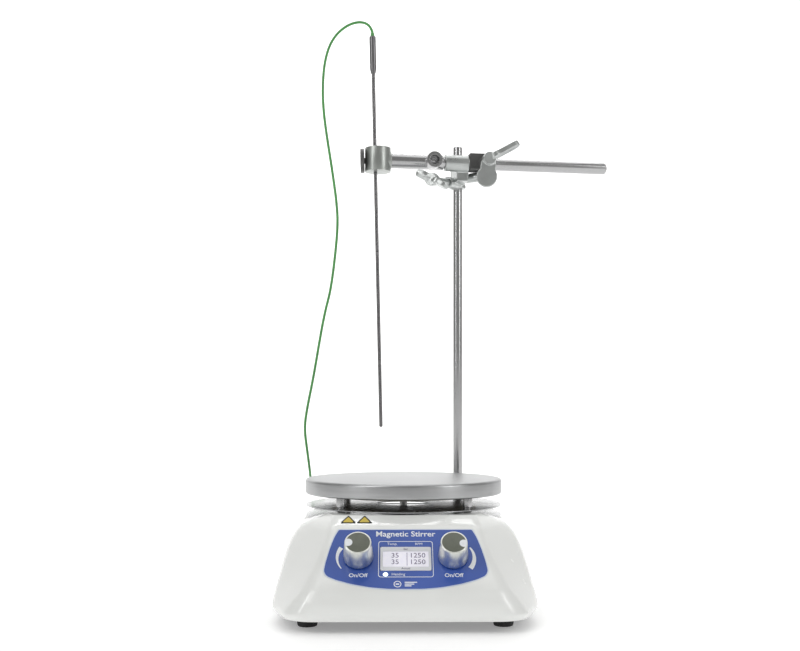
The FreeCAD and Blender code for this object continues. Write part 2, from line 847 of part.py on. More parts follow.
rod_wing_direction = in_arm_frame(0.808, -0.336, -0.484)
rod_screw_frame = ARM.multiply(
    FreeCAD.Placement(
        V(0, mm("arm_offset"), mm("rod_screw_z") - mm("arm_z")),
        FreeCAD.Rotation(rod_wing_direction, V(), rod_screw_direction, "ZXY"),
    )
)
arm_screw_frame = ARM.multiply(
    FreeCAD.Placement(V(mm("arm_screw_s"), 0, 0), FreeCAD.Rotation(X_AXIS, 90))
)
rod_wings = [(angle, 72, (5, 5), (11, 4.8), 4) for angle in (0, 180)]
arm_wings = [
    (-98, 15, (5, 6.5), (15.5, 8.8), 3.4),
    (29, 78, (6, 5.2), (25, 4.6), 4.4),
]
wing_screw("rod_wing_screw", rod_screw_frame, 4.3, 53.4, rod_wings)
wing_screw("arm_wing_screw", arm_screw_frame, 5.3, 19.3, arm_wings)


# ---------------------------------------------------------------- arm and probe clamp
arm_profile = [
    (0, "arm_left"),
    ("arm_radius", "arm_left"),
    ("arm_radius", "arm_right - 1.5"),
    ("arm_radius - 1.5", "arm_right"),
    (0, "arm_right"),
]
node("arm_rod", turned(arm_profile, (0, 0, 0), ALONG), frame=ARM)

stem_blank = fuse(
    cylinder("stem_radius", "stem_right - stem_left", ("stem_left", 0, 0), ALONG),
    cylinder("stem_boss_radius", 14, ("stem_boss_s", 0, 0), -Y_AXIS),
)
stem_tools = [
    cylinder("arm_radius + fit", 60, ("arm_left - 0.5", 0, 0), ALONG),
    cylinder(4, 20, ("stem_boss_s", -6.6, 0), -Y_AXIS),
]
node("clamp_stem", cut(stem_blank, *stem_tools), frame=ARM)
node("stem_set_screw", cylinder(4, 3, ("stem_boss_s", -6.6, 0), -Y_AXIS), frame=ARM)

clamp_low = "clamp_bottom - arm_z"
clamp_blank = fuse(
    cylinder("clamp_radius", "clamp_top - clamp_bottom", ("clamp_s", 0, clamp_low)),
    cylinder(7.6, "stem_left + 2 - clamp_s", ("clamp_s", 0, 0), ALONG),
)
clamp_local = ARM.inverse().multiply(PROBE)
probe_hole = cylinder("probe_radius + fit", 60, (0, 0, -30))
probe_bore = group(probe_hole)
probe_bore.Placement = clamp_local
thumb_local = clamp_local.multiply(
    FreeCAD.Placement(V(0, 0, 0), FreeCAD.Rotation(Z_AXIS, -X_AXIS))
)
thumb_hole = group(cylinder("screw_radius - 0.5 + fit", 40, (0, 0, 0)))
thumb_hole.Placement = thumb_local
stem_socket = cylinder("stem_radius + 0.02", 10, ("stem_left", 0, 0), ALONG)
node("clamp_head", cut(clamp_blank, probe_bore, thumb_hole, stem_socket), frame=ARM)
thumb_profile = [
    (0, "probe_radius + 0.35"),
    ("screw_radius - 0.5", "probe_radius + 0.35"),
    ("screw_radius - 0.5", "thumb_start"),
    ("thumb_radius - 0.6", "thumb_start"),
    ("thumb_radius", "thumb_start + 0.6"),
    ("thumb_radius", "thumb_end - 0.6"),
    ("thumb_radius - 0.6", "thumb_end"),
    (0, "thumb_end"),
]
node("clamp_screw", turned(thumb_profile), frame=ARM.multiply(thumb_local))


# ---------------------------------------------------------------- temperature probe
sheath_profile = [
    (0, "-probe_below"),
    ("probe_radius - 1", "-probe_below + 0.3"),
    ("probe_radius", "-probe_below + 1.5"),
    ("probe_radius", "probe_above + 3.5"),
    (0, "probe_above + 3.5"),
]
node("probe_sheath", turned(sheath_profile), frame=PROBE)
handle_profile = [
    ("probe_radius", "probe_above"),
    ("handle_radius - 1", "probe_above"),
    ("handle_radius", "probe_above + 4"),
    ("handle_radius", "handle_above - 1"),
    ("handle_radius - 0.6", "handle_above"),
    (0, "handle_above"),
    (0, "probe_above + 3.5"),
    ("probe_radius", "probe_above + 3.5"),
]
node("probe_handle", turned(handle_profile), frame=PROBE)
node("probe_strain_relief", cone(1.9, 1.3, 3, (0, 0, "handle_above")), frame=PROBE)

# Points of the cable's route, from the probe's strain relief to the plug on the rear face.
CABLE_ROUTE = [
    (-25.95, 37.6, 477.3),
    (-27.6, 37.6, 482.6),
    (-33.4, 37.8, 486.2),
    (-41, 38, 486),
    (-49.2, 38, 482.4),
    (-57.2, 38, 475.4),
    (-63.2, 38, 465.2),
    (-67, 38, 451),
    (-68.4, 38, 433.3),
    (-68.2, 38, 416.2),
    (-65.9, 38, 395),
    (-60.8, 39, 362.7),
    (-56.6, 40, 332.9),
    (-55.6, 41, 314.1),
    (-57.9, 43, 288.5),
    (-61.9, 45.5, 258.6),
    (-67, 47.2, 239.7),
    (-70.9, 49, 219.9),
    (-77.4, 52.5, 182.8),
    (-83, 55.5, 156.8),
    (-85.6, 57.5, 139.4),
    (-83.3, 59.5, 120.1),
    (-81.5, 66, 103),
    (-82, 84, 93),
    (-80.5, 108, 90),
    (-76, 134, 85),
    (-70, 153, 75),
    (-63.5, 165, 60),
    (-58, 167, 46.5),
    (-56, 158, 37.2),
    (-56, 147.3, 36),
]


def cable_tube(route, diameter):
    """Straight runs joined by tangent arcs, swept with a round section."""
    points = [V(*point) for point in route]
    edges, last, radii = [], points[0], []
    for before, here, after in zip(points, points[1:], points[2:]):
        back, ahead = before - here, after - here
        turn = math.pi - back.getAngle(ahead)
        reach = 0.45 * min(back.Length, ahead.Length)
        radius = reach / math.tan(turn / 2)
        back.normalize()
        ahead.normalize()
        start, end = here + back * reach, here + ahead * reach
        bisector = (back + ahead).normalize()
        top = here + bisector * (radius / math.cos(turn / 2) - radius)
        edges.append(Part.LineSegment(last, start).toShape())
        edges.append(Part.Arc(start, top, end).toShape())
        radii.append(radius)
        last = end
    edges.append(Part.LineSegment(last, points[-1]).toShape())
    path = Part.Wire(edges)
    section = Part.Wire(Part.Circle(points[0], points[1] - points[0], diameter / 2).toShape())
    tube = path.makePipeShell([section], True, False)
    solid = tube if tube.ShapeType == "Solid" else tube.Solids[0]
    expected = math.pi * diameter**2 / 4 * path.Length
    print(f"cable length {path.Length:.1f} mm, volume ratio {solid.Volume / expected:.4f}")
    print("cable bend radii", [round(radius, 1) for radius in radii])
    return solid


cable = doc.addObject("Part::Feature", "cable")
cable.Shape = cable_tube(CABLE_ROUTE, mm("cable_diameter"))
node("probe_cable", cable)


# ---------------------------------------------------------------- checks and export
doc.recompute()
failed = [item.Name for item in doc.Objects if {"Invalid", "Error"} & set(item.State)]
if failed:
    raise RuntimeError(f"objects failed: {failed}")
for item in NODES:
    if item.Shape.isNull() or not item.Shape.isValid() or not item.Shape.Solids:
        raise RuntimeError(f"{item.Label} has no valid solid")
for item in NODES:
    solids = item.Shape.Solids
    shape = solids[0] if len(solids) == 1 else Part.makeCompound(solids)
    shape.exportStep(f"parts/{item.Label}.step")
print(len(NODES), "nodes", {item.Label: len(item.Shape.Solids) for item in NODES})
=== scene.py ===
import json
import math

import bmesh
import bpy
import numpy as np
from mathutils import Matrix, Vector


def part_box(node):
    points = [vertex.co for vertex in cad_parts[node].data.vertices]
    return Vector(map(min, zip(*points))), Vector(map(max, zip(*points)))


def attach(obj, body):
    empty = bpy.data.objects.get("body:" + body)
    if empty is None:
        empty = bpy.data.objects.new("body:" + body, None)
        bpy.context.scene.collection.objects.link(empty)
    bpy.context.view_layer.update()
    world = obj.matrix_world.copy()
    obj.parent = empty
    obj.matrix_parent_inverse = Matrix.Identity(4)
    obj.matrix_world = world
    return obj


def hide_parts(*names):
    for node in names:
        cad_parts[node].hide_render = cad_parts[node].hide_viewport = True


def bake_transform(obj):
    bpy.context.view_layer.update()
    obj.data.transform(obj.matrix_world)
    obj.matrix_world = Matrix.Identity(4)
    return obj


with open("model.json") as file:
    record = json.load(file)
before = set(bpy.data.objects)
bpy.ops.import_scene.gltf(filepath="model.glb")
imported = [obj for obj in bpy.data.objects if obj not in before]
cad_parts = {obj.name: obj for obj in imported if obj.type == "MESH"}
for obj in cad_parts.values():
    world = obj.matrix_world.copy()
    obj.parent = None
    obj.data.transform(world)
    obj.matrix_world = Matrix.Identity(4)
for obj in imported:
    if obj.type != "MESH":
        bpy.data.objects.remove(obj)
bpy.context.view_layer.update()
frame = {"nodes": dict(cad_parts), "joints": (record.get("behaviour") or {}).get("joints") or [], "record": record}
NODES = frame["nodes"]
JOINTS = {joint["name"]: joint for joint in frame["joints"]}
MM = 0.001
WHOLE_TURN = 2 * math.pi


# ---------------------------------------------------------------- frames taken from the CAD joints
def axis_frame(origin, across, up):
    """A frame with its X along across and its Z along up."""
    z = Vector(up).normalized()
    x = (Vector(across) - z * Vector(across).dot(z)).normalized()
    y = z.cross(x)
    turn = Matrix((x, y, z)).transposed().to_4x4()
    return Matrix.Translation(Vector(origin)) @ turn


def knob_centre(side):
    joint = JOINTS[f"{side}_turn"]
    return Vector(joint["pos_m"]), Vector(joint["axis"])


KNOB_PIVOT_HEIGHT = 10 * MM
KNOB_V = 28.6 * MM
temp_centre, PANEL_NORMAL = knob_centre("temp")
speed_centre, _ = knob_centre("speed")
KNOB_X = (speed_centre.x - temp_centre.x) / 2
PANEL_UP = PANEL_NORMAL.cross(Vector((1, 0, 0)))
panel_foot = (temp_centre + speed_centre) / 2 - PANEL_NORMAL * KNOB_PIVOT_HEIGHT
PANEL = axis_frame(panel_foot - PANEL_UP * KNOB_V, (1, 0, 0), PANEL_NORMAL)

ARM_AXIS = Vector(JOINTS["arm_slide"]["axis"])
ARM = axis_frame(JOINTS["clamp_roll"]["pos_m"], ARM_AXIS, (0, 0, 1))
ARM_LINE = ARM @ Matrix.Rotation(math.pi / 2, 4, "Y")
PROBE_AXIS = Vector(JOINTS["probe_slide"]["axis"])
GRIP = Vector(JOINTS["thumb_turn"]["pos_m"])
PROBE = axis_frame(GRIP, (1, 0, 0), PROBE_AXIS)
THUMB = axis_frame(GRIP, (0, 0, 1), JOINTS["thumb_turn"]["axis"])


# ---------------------------------------------------------------- camera
CAMERA_PLACE = (-12.4 * MM, -910.9 * MM, 162 * MM)
CAMERA_YAW = math.radians(-0.6)
CAMERA_SHIFT = 0.0956
CAMERA_LENS = 50
CAMERA_SENSOR = 36


def make_camera():
    data = bpy.data.cameras.new("camera")
    data.lens, data.sensor_width = CAMERA_LENS, CAMERA_SENSOR
    data.shift_y = CAMERA_SHIFT
    item = bpy.data.objects.new("camera", data)
    item.location = CAMERA_PLACE
    item.rotation_euler = (math.pi / 2, 0, CAMERA_YAW)
    bpy.context.scene.collection.objects.link(item)
    bpy.context.scene.camera = item


make_camera()


# ---------------------------------------------------------------- node materials
class Nodes:
    """Short calls for building one material's node tree."""

    def __init__(self, name):
        self.material = bpy.data.materials.new(name)
        self.material.use_nodes = True
        self.tree = self.material.node_tree
        self.shader = self.tree.nodes["Principled BSDF"]
        self.place = self.add("ShaderNodeTexCoord").outputs["Object"]

    def add(self, kind, links=None, **settings):
        item = self.tree.nodes.new(kind)
        for key, value in settings.items():
            setattr(item, key, value)
        for key, value in (links or {}).items():
            socket = item.inputs[key]
            if isinstance(value, bpy.types.NodeSocket):
                self.tree.links.new(value, socket)
            else:
                socket.default_value = value
        return item

    def noise(self, scale, detail=3.0, stretch=None):
        place = self.place
        if stretch:
            mapping = self.add("ShaderNodeMapping", {"Vector": place, "Scale": stretch})
            place = mapping.outputs["Vector"]
        links = {"Vector": place, "Scale": scale, "Detail": detail}
        return self.add("ShaderNodeTexNoise", links).outputs["Fac"]

    def spread(self, value, low, high, start=0.3, end=0.7):
        links = {
            "Value": value,
            "From Min": start,
            "From Max": end,
            "To Min": low,
            "To Max": high,
        }
        return self.add("ShaderNodeMapRange", links).outputs["Result"]

    def blend(self, factor, first, second):
        item = self.add("ShaderNodeMix", data_type="RGBA")
        for socket, value in ((0, factor), (6, first), (7, second)):
            if isinstance(value, bpy.types.NodeSocket):
                self.tree.links.new(value, item.inputs[socket])
            else:
                item.inputs[socket].default_value = value
        return item.outputs[2]

    def bump(self, height, distance, strength=1.0):
        links = {"Height": height, "Distance": distance, "Strength": strength}
        normal = self.add("ShaderNodeBump", links).outputs["Normal"]
        self.tree.links.new(normal, self.shader.inputs["Normal"])

    def set(self, **sockets):
        for key, value in sockets.items():
            socket = self.shader.inputs[key.replace("_", " ")]
            if isinstance(value, bpy.types.NodeSocket):
                self.tree.links.new(value, socket)
            else:
                socket.default_value = value


def rgba(colour, share=1.0):
    return (*[min(1.0, part * share) for part in colour], 1.0)


def surface(name, colour, rough, metal=0.0, mottle=0.06, scale=60, grain=900, depth=0.01, coat=0.0):
    """Base colour and roughness that drift a little over the surface, and a fine grain in relief."""
    nodes = Nodes(name)
    cloud = nodes.noise(scale)
    fine = nodes.noise(grain, 2.0)
    tint = nodes.blend(
        nodes.spread(cloud, 0, 1), rgba(colour, 1 - mottle), rgba(colour, 1 + mottle)
    )
    nodes.set(Base_Color=tint, Metallic=metal)
    nodes.set(Roughness=nodes.spread(cloud, rough * 0.85, rough * 1.15))
    if coat:
        nodes.set(Coat_Weight=coat, Coat_Roughness=0.06)
    nodes.bump(fine, depth * MM)
    return nodes.material


def brushed(name, colour, rough, stretch, scale=40, depth=0.006, mottle=0.1):
    """Metal with fine lines drawn out along the small numbers of stretch."""
    nodes = Nodes(name)
    lines = nodes.noise(scale, 4.0, stretch)
    cloud = nodes.noise(35)
    tint = nodes.blend(
        nodes.spread(lines, 0, 1), rgba(colour, 1 - mottle), rgba(colour, 1 + mottle)
    )
    nodes.set(Base_Color=tint, Metallic=1.0)
    nodes.set(Roughness=nodes.spread(cloud, rough * 0.85, rough * 1.2))
    nodes.bump(lines, depth * MM)
    return nodes.material


def machined(name, colour, rough, pitch, depth):
    """Turned metal: fine rings about the plate's axis."""
    nodes = Nodes(name)
    rings = nodes.add(
        "ShaderNodeTexWave",
        {"Vector": nodes.place, "Scale": 1 / (pitch * 3.2), "Distortion": 0.4, "Detail": 2.0},
        wave_type="RINGS",
        rings_direction="Z",
    ).outputs["Fac"]
    cloud = nodes.noise(18, 4.0)
    tint = nodes.blend(nodes.spread(cloud, 0, 1), rgba(colour, 0.93), rgba(colour, 1.05))
    nodes.set(Base_Color=tint, Metallic=1.0)
    nodes.set(Roughness=nodes.spread(cloud, rough * 0.9, rough * 1.15))
    nodes.bump(rings, depth * MM, 0.6)
    return nodes.material


def glowing(name, colour, strength):
    nodes = Nodes(name)
    cloud = nodes.noise(200)
    tint = nodes.blend(nodes.spread(cloud, 0, 1), rgba(colour, 0.95), rgba(colour, 1.04))
    nodes.set(Base_Color=tint, Emission_Color=tint, Roughness=0.35)
    nodes.set(Emission_Strength=strength)
    return nodes.material


MATERIALS = {
    "white_paint": surface("white_paint", (0.85, 0.86, 0.84), 0.24, coat=0.5, mottle=0.015,
                           scale=14, grain=1400, depth=0.004),
    "black_plastic": surface("black_plastic", (0.03, 0.03, 0.032), 0.45, mottle=0.2),
    "rubber": surface("rubber", (0.022, 0.022, 0.023), 0.7, mottle=0.25, depth=0.03),
    "screw_steel": surface("screw_steel", (0.55, 0.55, 0.54), 0.3, 1.0, grain=500),
    "blue_film": surface("blue_film", (0.03, 0.085, 0.38), 0.34, coat=0.3, mottle=0.10,
                         scale=22, grain=1800, depth=0.004),
    # Pale colour of the label's rim: a painted highlight along the film's edge.
    "film_edge_highlight": surface("film_edge_highlight", (0.62, 0.68, 0.80), 0.35, mottle=0.05),
    "white_print": surface("white_print", (0.85, 0.87, 0.90), 0.5, mottle=0.04, scale=300),
    "pale_plastic": surface("pale_plastic", (0.72, 0.73, 0.76), 0.35, mottle=0.04),
    "display_glass": glowing("display_glass", (0.70, 0.69, 0.76), 0.35),
    "display_ink": surface("display_ink", (0.16, 0.13, 0.22), 0.5, mottle=0.1, scale=200),
    "indicator": glowing("indicator", (0.85, 0.95, 1.0), 1.4),
    "circuit_board": surface("circuit_board", (0.02, 0.18, 0.06), 0.4, mottle=0.15),
    "sticker": surface("sticker", (0.62, 0.46, 0.03), 0.4, mottle=0.06, scale=200),
    "sticker_edge": surface("sticker_edge", (0.012, 0.012, 0.01), 0.6, mottle=0.1),
    "plate_metal": machined("plate_metal", (0.45, 0.455, 0.46), 0.42, 1.1 * MM, 0.012),
    "plate_side": brushed("plate_side", (0.44, 0.445, 0.45), 0.36, (1, 1, 14), 30, 0.004, 0.05),
    "shield_metal": brushed("shield_metal", (0.46, 0.465, 0.47), 0.24, (1, 1, 20), 40, 0.003, 0.04),
    "heater_mica": surface("heater_mica", (0.30, 0.26, 0.19), 0.7, mottle=0.2),
    # Dark metal: the thumb screw's own colour, and painted shade on the boss head's jaw.
    "dark_metal": surface("dark_metal", (0.13, 0.13, 0.128), 0.36, 0.6, mottle=0.15),
    "brass_bush": surface("brass_bush", (0.7, 0.5, 0.22), 0.3, 1.0),
    "polished_steel": brushed("polished_steel", (0.48, 0.48, 0.485), 0.22, (60, 60, 2), 20, 0.0005,
                              0.04),
    "magnet": surface("magnet", (0.45, 0.45, 0.46), 0.35, 1.0),
    "cast_zinc": surface("cast_zinc", (0.54, 0.56, 0.552), 0.31, 0.88, mottle=0.08,
                         scale=90, grain=420, depth=0.05),
    "clamp_steel": surface("clamp_steel", (0.40, 0.42, 0.40), 0.34, 0.8, mottle=0.07, scale=70,
                           grain=700, depth=0.02),
    "probe_steel": brushed("probe_steel", (0.21, 0.205, 0.21), 0.26, (60, 60, 2), 20, 0.0005, 0.04),
    "green_silicone": surface("green_silicone", (0.08, 0.30, 0.08), 0.45, mottle=0.12,
                              scale=120, grain=1500, depth=0.01),
    "satin_knob": brushed("satin_knob", (0.80, 0.81, 0.76), 0.30, (30, 30, 2), 26, 0.004, 0.05),
    "knob_cap": surface("knob_cap", (0.13, 0.14, 0.11), 0.34, mottle=0.12, scale=150),
}


# ---------------------------------------------------------------- mesh helpers
def linked(name, mesh):
    item = bpy.data.objects.new(name, mesh)
    bpy.context.scene.collection.objects.link(item)
    return item


def from_data(name, points, faces, matrix=None):
    mesh = bpy.data.meshes.new(name)
    mesh.from_pydata([tuple(point) for point in points], [], faces)
    if matrix:
        mesh.transform(matrix)
    mesh.update()
    return linked(name, mesh)


def applied(item):
    """Bakes an object's modifiers into its mesh."""
    graph = bpy.context.evaluated_depsgraph_get()
    mesh = bpy.data.meshes.new_from_object(item.evaluated_get(graph))
    item.modifiers.clear()
    item.data = mesh
    return item


def bevelled(item, width, segments=3, angle=30):
    modifier = item.modifiers.new("bevel", "BEVEL")
    modifier.width, modifier.segments = width, segments
    modifier.limit_method, modifier.angle_limit = "ANGLE", math.radians(angle)
    modifier.harden_normals = False
    return applied(item)


def finished(item, body, slot, replaces=(), material=None, smooth=38):
    """Shades, colours and seats a piece on its body."""
    mesh = item.data
    mesh.polygons.foreach_set("use_smooth", [True] * len(mesh.polygons))
    mesh.set_sharp_from_angle(angle=math.radians(smooth))
    if not mesh.materials:
        mesh.materials.append(MATERIALS[material or slot])
    if body:
        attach(item, body)
    if replaces:
        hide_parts(*replaces)
    return item


def rounded(corners, closed=True, steps=6):
    """The outline through (x, y, radius) corners, with each corner an arc of its radius."""
    result = []
    count = len(corners)
    for i, (x, y, radius) in enumerate(corners):
        here = Vector((x, y))
        if not radius or (not closed and i in (0, count - 1)):
            result.append(here)
            continue
        before = Vector(corners[i - 1][:2]) - here
        after = Vector(corners[(i + 1) % count][:2]) - here
        half = before.angle(after) / 2
        reach = min(radius / math.tan(half), 0.49 * before.length, 0.49 * after.length)
        size = reach * math.tan(half)
        before.normalize()
        after.normalize()
        centre = here + (before + after).normalized() * (size / math.sin(half))
        start = here + before * reach - centre
        turn = start.angle_signed(here + after * reach - centre)
        for step in range(steps + 1):
            angle = -turn * step / steps
            result.append(centre + Matrix.Rotation(angle, 2) @ start)
    return result


def lathe(name, corners, matrix, segments=96, steps=5):
    """A closed solid turned about the frame's Z from (radius, height, corner radius) corners."""
    line = rounded(corners, closed=False, steps=steps)
    points, rows = [], []
    for radius, height in line:
        if radius < 1e-7:
            rows.append([len(points)] * segments)
            points.append((0, 0, height))
            continue
        first = len(points)
        for k in range(segments):
            angle = WHOLE_TURN * k / segments
            points.append((radius * math.cos(angle), radius * math.sin(angle), height))
        rows.append(list(range(first, first + segments)))
    closed_ring = corners[0][0] > 1e-7
    pairs = list(zip(rows, rows[1:]))
    if closed_ring:
        pairs.append((rows[-1], rows[0]))
    faces = []
    for low, high in pairs:
        for k in range(segments):
            n = (k + 1) % segments
            corner = [low[k], low[n], high[n], high[k]]
            face = list(dict.fromkeys(corner))
            if len(face) > 2:
                faces.append(face)
    item = from_data(name, points, faces, matrix)
    tidy_normals(item)
    return item


def tidy_normals(item):
    work = bmesh.new()
    work.from_mesh(item.data)
    bmesh.ops.remove_doubles(work, verts=work.verts, dist=1e-7)
    bmesh.ops.recalc_face_normals(work, faces=work.faces)
    work.to_mesh(item.data)
    work.free()


def prism(name, outline, low, high, matrix, bevel=0.0):
    """An outline raised from low to high along the frame's Z, with its edges rounded when bevel is given."""
    count = len(outline)
    points = [(x, y, low) for x, y in outline] + [(x, y, high) for x, y in outline]
    faces = [list(range(count))[::-1], list(range(count, 2 * count))]
    faces += [[k, (k + 1) % count, (k + 1) % count + count, k + count] for k in range(count)]
    item = from_data(name, points, faces, matrix)
    tidy_normals(item)
    if bevel:
        bevelled(item, bevel, 3, 50)
    return item


def rectangle(cx, cy, half_x, half_y, radius):
    corners = [(-1, -1), (1, -1), (1, 1), (-1, 1)]
    return rounded([(cx + sx * half_x, cy + sy * half_y, radius) for sx, sy in corners])


def circle(cx, cy, radius, count=48):
    turn = [WHOLE_TURN * k / count for k in range(count)]
    return [Vector((cx + radius * math.cos(a), cy + radius * math.sin(a))) for a in turn]


def joined(name, items):
    """Several meshes as one object."""
    work = bmesh.new()
    for item in items:
        work.from_mesh(item.data)
        bpy.data.objects.remove(item)
    mesh = bpy.data.meshes.new(name)
    work.to_mesh(mesh)
    work.free()
    return linked(name, mesh)


def softened(node, name, voxel, passes):
    """A copy of a CAD node's shape with its edges and inner corners melted round."""
    item = linked(name, NODES[node].data.copy())
    item.data.materials.clear()
    tidy_normals(item)
    remesh = item.modifiers.new("remesh", "REMESH")
    remesh.mode, remesh.voxel_size, remesh.use_smooth_shade = "VOXEL", voxel, True
    smooth = item.modifiers.new("smooth", "SMOOTH")
    smooth.factor, smooth.iterations = 0.5, passes
    return applied(item)


def edge_rounded(node, name, width, angle=35):
    """A copy of a CAD node's shape with its flat faces merged and its sharp edges bevelled."""
    item = linked(name, NODES[node].data.copy())
    item.data.materials.clear()
    tidy_normals(item)
    work = bmesh.new()
    work.from_mesh(item.data)
    bmesh.ops.dissolve_limit(
        work, angle_limit=math.radians(0.5), verts=work.verts, edges=work.edges
    )
    work.to_mesh(item.data)
    work.free()
    return bevelled(item, width, 3, angle)


# ---------------------------------------------------------------- probe cable
CABLE_DIAMETER = 2.2 * MM
CABLE_ROUTE = [
    (-25.95, 37.6, 477.3),
    (-27.6, 37.6, 482.6),
    (-33.4, 37.8, 486.2),
    (-41, 38, 486),
    (-49.2, 38, 482.4),
    (-57.2, 38, 475.4),
    (-63.2, 38, 465.2),
    (-67, 38, 451),
    (-68.4, 38, 433.3),
    (-68.2, 38, 416.2),
    (-65.9, 38, 395),
    (-60.8, 39, 362.7),
    (-56.6, 40, 332.9),
    (-55.6, 41, 314.1),
    (-57.9, 43, 288.5),
    (-61.9, 45.5, 258.6),
    (-67, 47.2, 239.7),
    (-70.9, 49, 219.9),
    (-77.4, 52.5, 182.8),
    (-83, 55.5, 156.8),
    (-85.6, 57.5, 139.4),
    (-83.3, 59.5, 120.1),
    (-81.5, 66, 103),
    (-82, 84, 93),
    (-80.5, 108, 90),
    (-76, 134, 85),
    (-70, 153, 75),
    (-63.5, 165, 60),
    (-58, 167, 46.5),
    (-56, 158, 37.2),
    (-56, 147.3, 36),
]
# Name, upper body, lower body, upper and lower height of each stretch of the cable; the cable is cut where it
# drops below each lower height, and the bodies and upper heights are not used.
CABLE_STRETCHES = [
    ("probe_cable_top", "probe", "clamp", 455 * MM, 402 * MM),
    ("probe_cable_clamp", "clamp", "arm", 398 * MM, 347 * MM),
    ("probe_cable_arm", "arm", "head", 343 * MM, 288 * MM),
    ("probe_cable_head", "head", "rod", 284 * MM, 238 * MM),
    ("probe_cable_base", "rod", "base", 234 * MM, 106 * MM),
]
STRETCH_MARGIN = 2 * MM


def cable_line():
    """Points along the smooth line of the route."""
    curve = bpy.data.curves.new("cable_line", "CURVE")
    curve.dimensions = "3D"
    curve.resolution_u = 24
    spline = curve.splines.new("NURBS")
    spline.points.add(len(CABLE_ROUTE) - 1)
    for point, place in zip(spline.points, CABLE_ROUTE):
        point.co = (*[part * MM for part in place], 1)
    spline.order_u = 3
    spline.use_endpoint_u = True
    holder = linked("cable_line", curve)
    graph = bpy.context.evaluated_depsgraph_get()
    mesh = bpy.data.meshes.new_from_object(holder.evaluated_get(graph))
    line = [vertex.co.copy() for vertex in mesh.vertices]
    bpy.data.objects.remove(holder)
    return line


def tube(name, line, radius, sides=16):
    """A closed round tube along a line of points."""
    points, faces = [], []
    side = None
    for i, here in enumerate(line):
        ahead = line[min(i + 1, len(line) - 1)] - line[max(i - 1, 0)]
        ahead.normalize()
        side = (side or Vector((0, 1, 0))) - ahead * (side or Vector((0, 1, 0))).dot(ahead)
        side.normalize()
        across = ahead.cross(side)
        for k in range(sides):
            angle = WHOLE_TURN * k / sides
            points.append(here + (side * math.cos(angle) + across * math.sin(angle)) * radius)
    for i in range(len(line) - 1):
        for k in range(sides):
            n = (k + 1) % sides
            base = i * sides
            faces.append([base + k, base + n, base + sides + n, base + sides + k])
    faces.append(list(range(sides))[::-1])
    faces.append(list(range(len(points) - sides, len(points))))
    item = from_data(name, points, faces)
    tidy_normals(item)
    return item


def make_cable():
    line = cable_line()
    crest = max(range(len(line)), key=lambda i: line[i].z)
    start = 0
    for name, upper, lower, high, low in CABLE_STRETCHES:
        end = len(line) - 1
        if name != CABLE_STRETCHES[-1][0]:
            below = [i for i in range(crest, len(line)) if line[i].z < low - STRETCH_MARGIN]
            end = below[0]
        stretch = line[start : end + 1]
        item = tube(name, stretch, CABLE_DIAMETER / 2)
        finished(item, None, "green_silicone", ["probe_cable"])
        top = min(stretch, key=lambda point: abs(point.z - high))
        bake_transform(item)
        start = end


make_cable()


# ---------------------------------------------------------------- housing
# Height, front edge, half width of the front face, where the cheek meets the side, half width
# of the side, rear edge and front ridge radius of each level of the housing, in millimetres.
HOUSING_LEVELS = [
    (9, -138.5, 82, -96, 95.5, 122, 24),
    (12.5, -141, 83, -96, 98, 125, 24),
    (22, -140.4, 76, -90, 96.4, 125, 20),
    (30, -137, 70.5, -84, 94.6, 125, 14),
    (46, -121.57, 62.5, -76, 90.8, 125, 10),
    (57, -110.96, 58, -70, 87.2, 124, 8),
    (64, -104.21, 55.8, -64, 83.4, 122, 7),
    (69.4, -99, 54.2, -60, 79, 118, 7),
    (77.6, -83, 52.8, -66, 58, -10, 7),
]
SIDE_RADIUS = 26
WALL = 3
FRONT_RUN = 4.2
LEVEL_FLOW = 2.2


def level_at(height):
    """The sizes at a height, averaged a little way up and down so that levels flow together."""
    table = np.array(HOUSING_LEVELS, float)
    reach = min(LEVEL_FLOW, height - table[0, 0], table[-1, 0] - height)
    around = height + reach * np.linspace(-1, 1, 9)
    return [float(np.mean(np.interp(around, table[:, 0], column))) for column in table.T[1:]]


def level_outline(height, inset, front_inset):
    front, half_front, cheek, half_side, rear, ridge = level_at(height)
    right = [
        (half_front - inset, front + front_inset, ridge),
        (half_side - inset, cheek, SIDE_RADIUS),
        (half_side - inset, rear - inset, SIDE_RADIUS),
    ]
    corners = right + [(-x, y, radius) for x, y, radius in reversed(right)]
    return rounded(corners, steps=14)


def housing_solid(name, heights, inset=0.0, front_inset=0.0):
    points, faces = [], []
    for height in heights:
        outline = level_outline(height, inset, front_inset)
        count = len(outline)
        points += [(x * MM, y * MM, height * MM) for x, y in outline]
    for i in range(len(heights) - 1):
        for k in range(count):
            n = (k + 1) % count
            base = i * count
            faces.append([base + k, base + n, base + count + n, base + count + k])
    faces.append(list(range(count))[::-1])
    faces.append(list(range(len(points) - count, len(points))))
    item = from_data(name, points, faces)
    tidy_normals(item)
    return item


def subtract(item, tools):
    for tool in tools:
        modifier = item.modifiers.new("cut", "BOOLEAN")
        modifier.operation, modifier.solver, modifier.object = "DIFFERENCE", "EXACT", tool
        applied(item)
        bpy.data.objects.remove(tool)
    return item


INLET_FLANGE = 2 * MM


def back_frame():
    """Origin on the rear face at the inlet's height, Z straight out of it."""
    low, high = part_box("power_inlet")
    face_y = high.y - INLET_FLANGE
    return axis_frame((0, face_y, (low.z + high.z) / 2), (-1, 0, 0), (0, 1, 0))


BACK = back_frame()


def back_x(node):
    low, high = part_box(node)
    return -(low.x + high.x) / 2


LCD_LOW, LCD_HIGH, LCD_HALF = 17.2 * MM, 38 * MM, 18.3 * MM
LCD_MIDDLE = (LCD_LOW + LCD_HIGH) / 2
LCD_REACH = (LCD_HIGH - LCD_LOW) / 2
LAMP_X, LAMP_V = -14.4 * MM, 14.2 * MM
KNOB_HOLE = 4.5 * MM
LAMP_HOLE = 1.8 * MM
CUT_DEPTH = 20 * MM
CUT_CORNER = 0.1 * MM


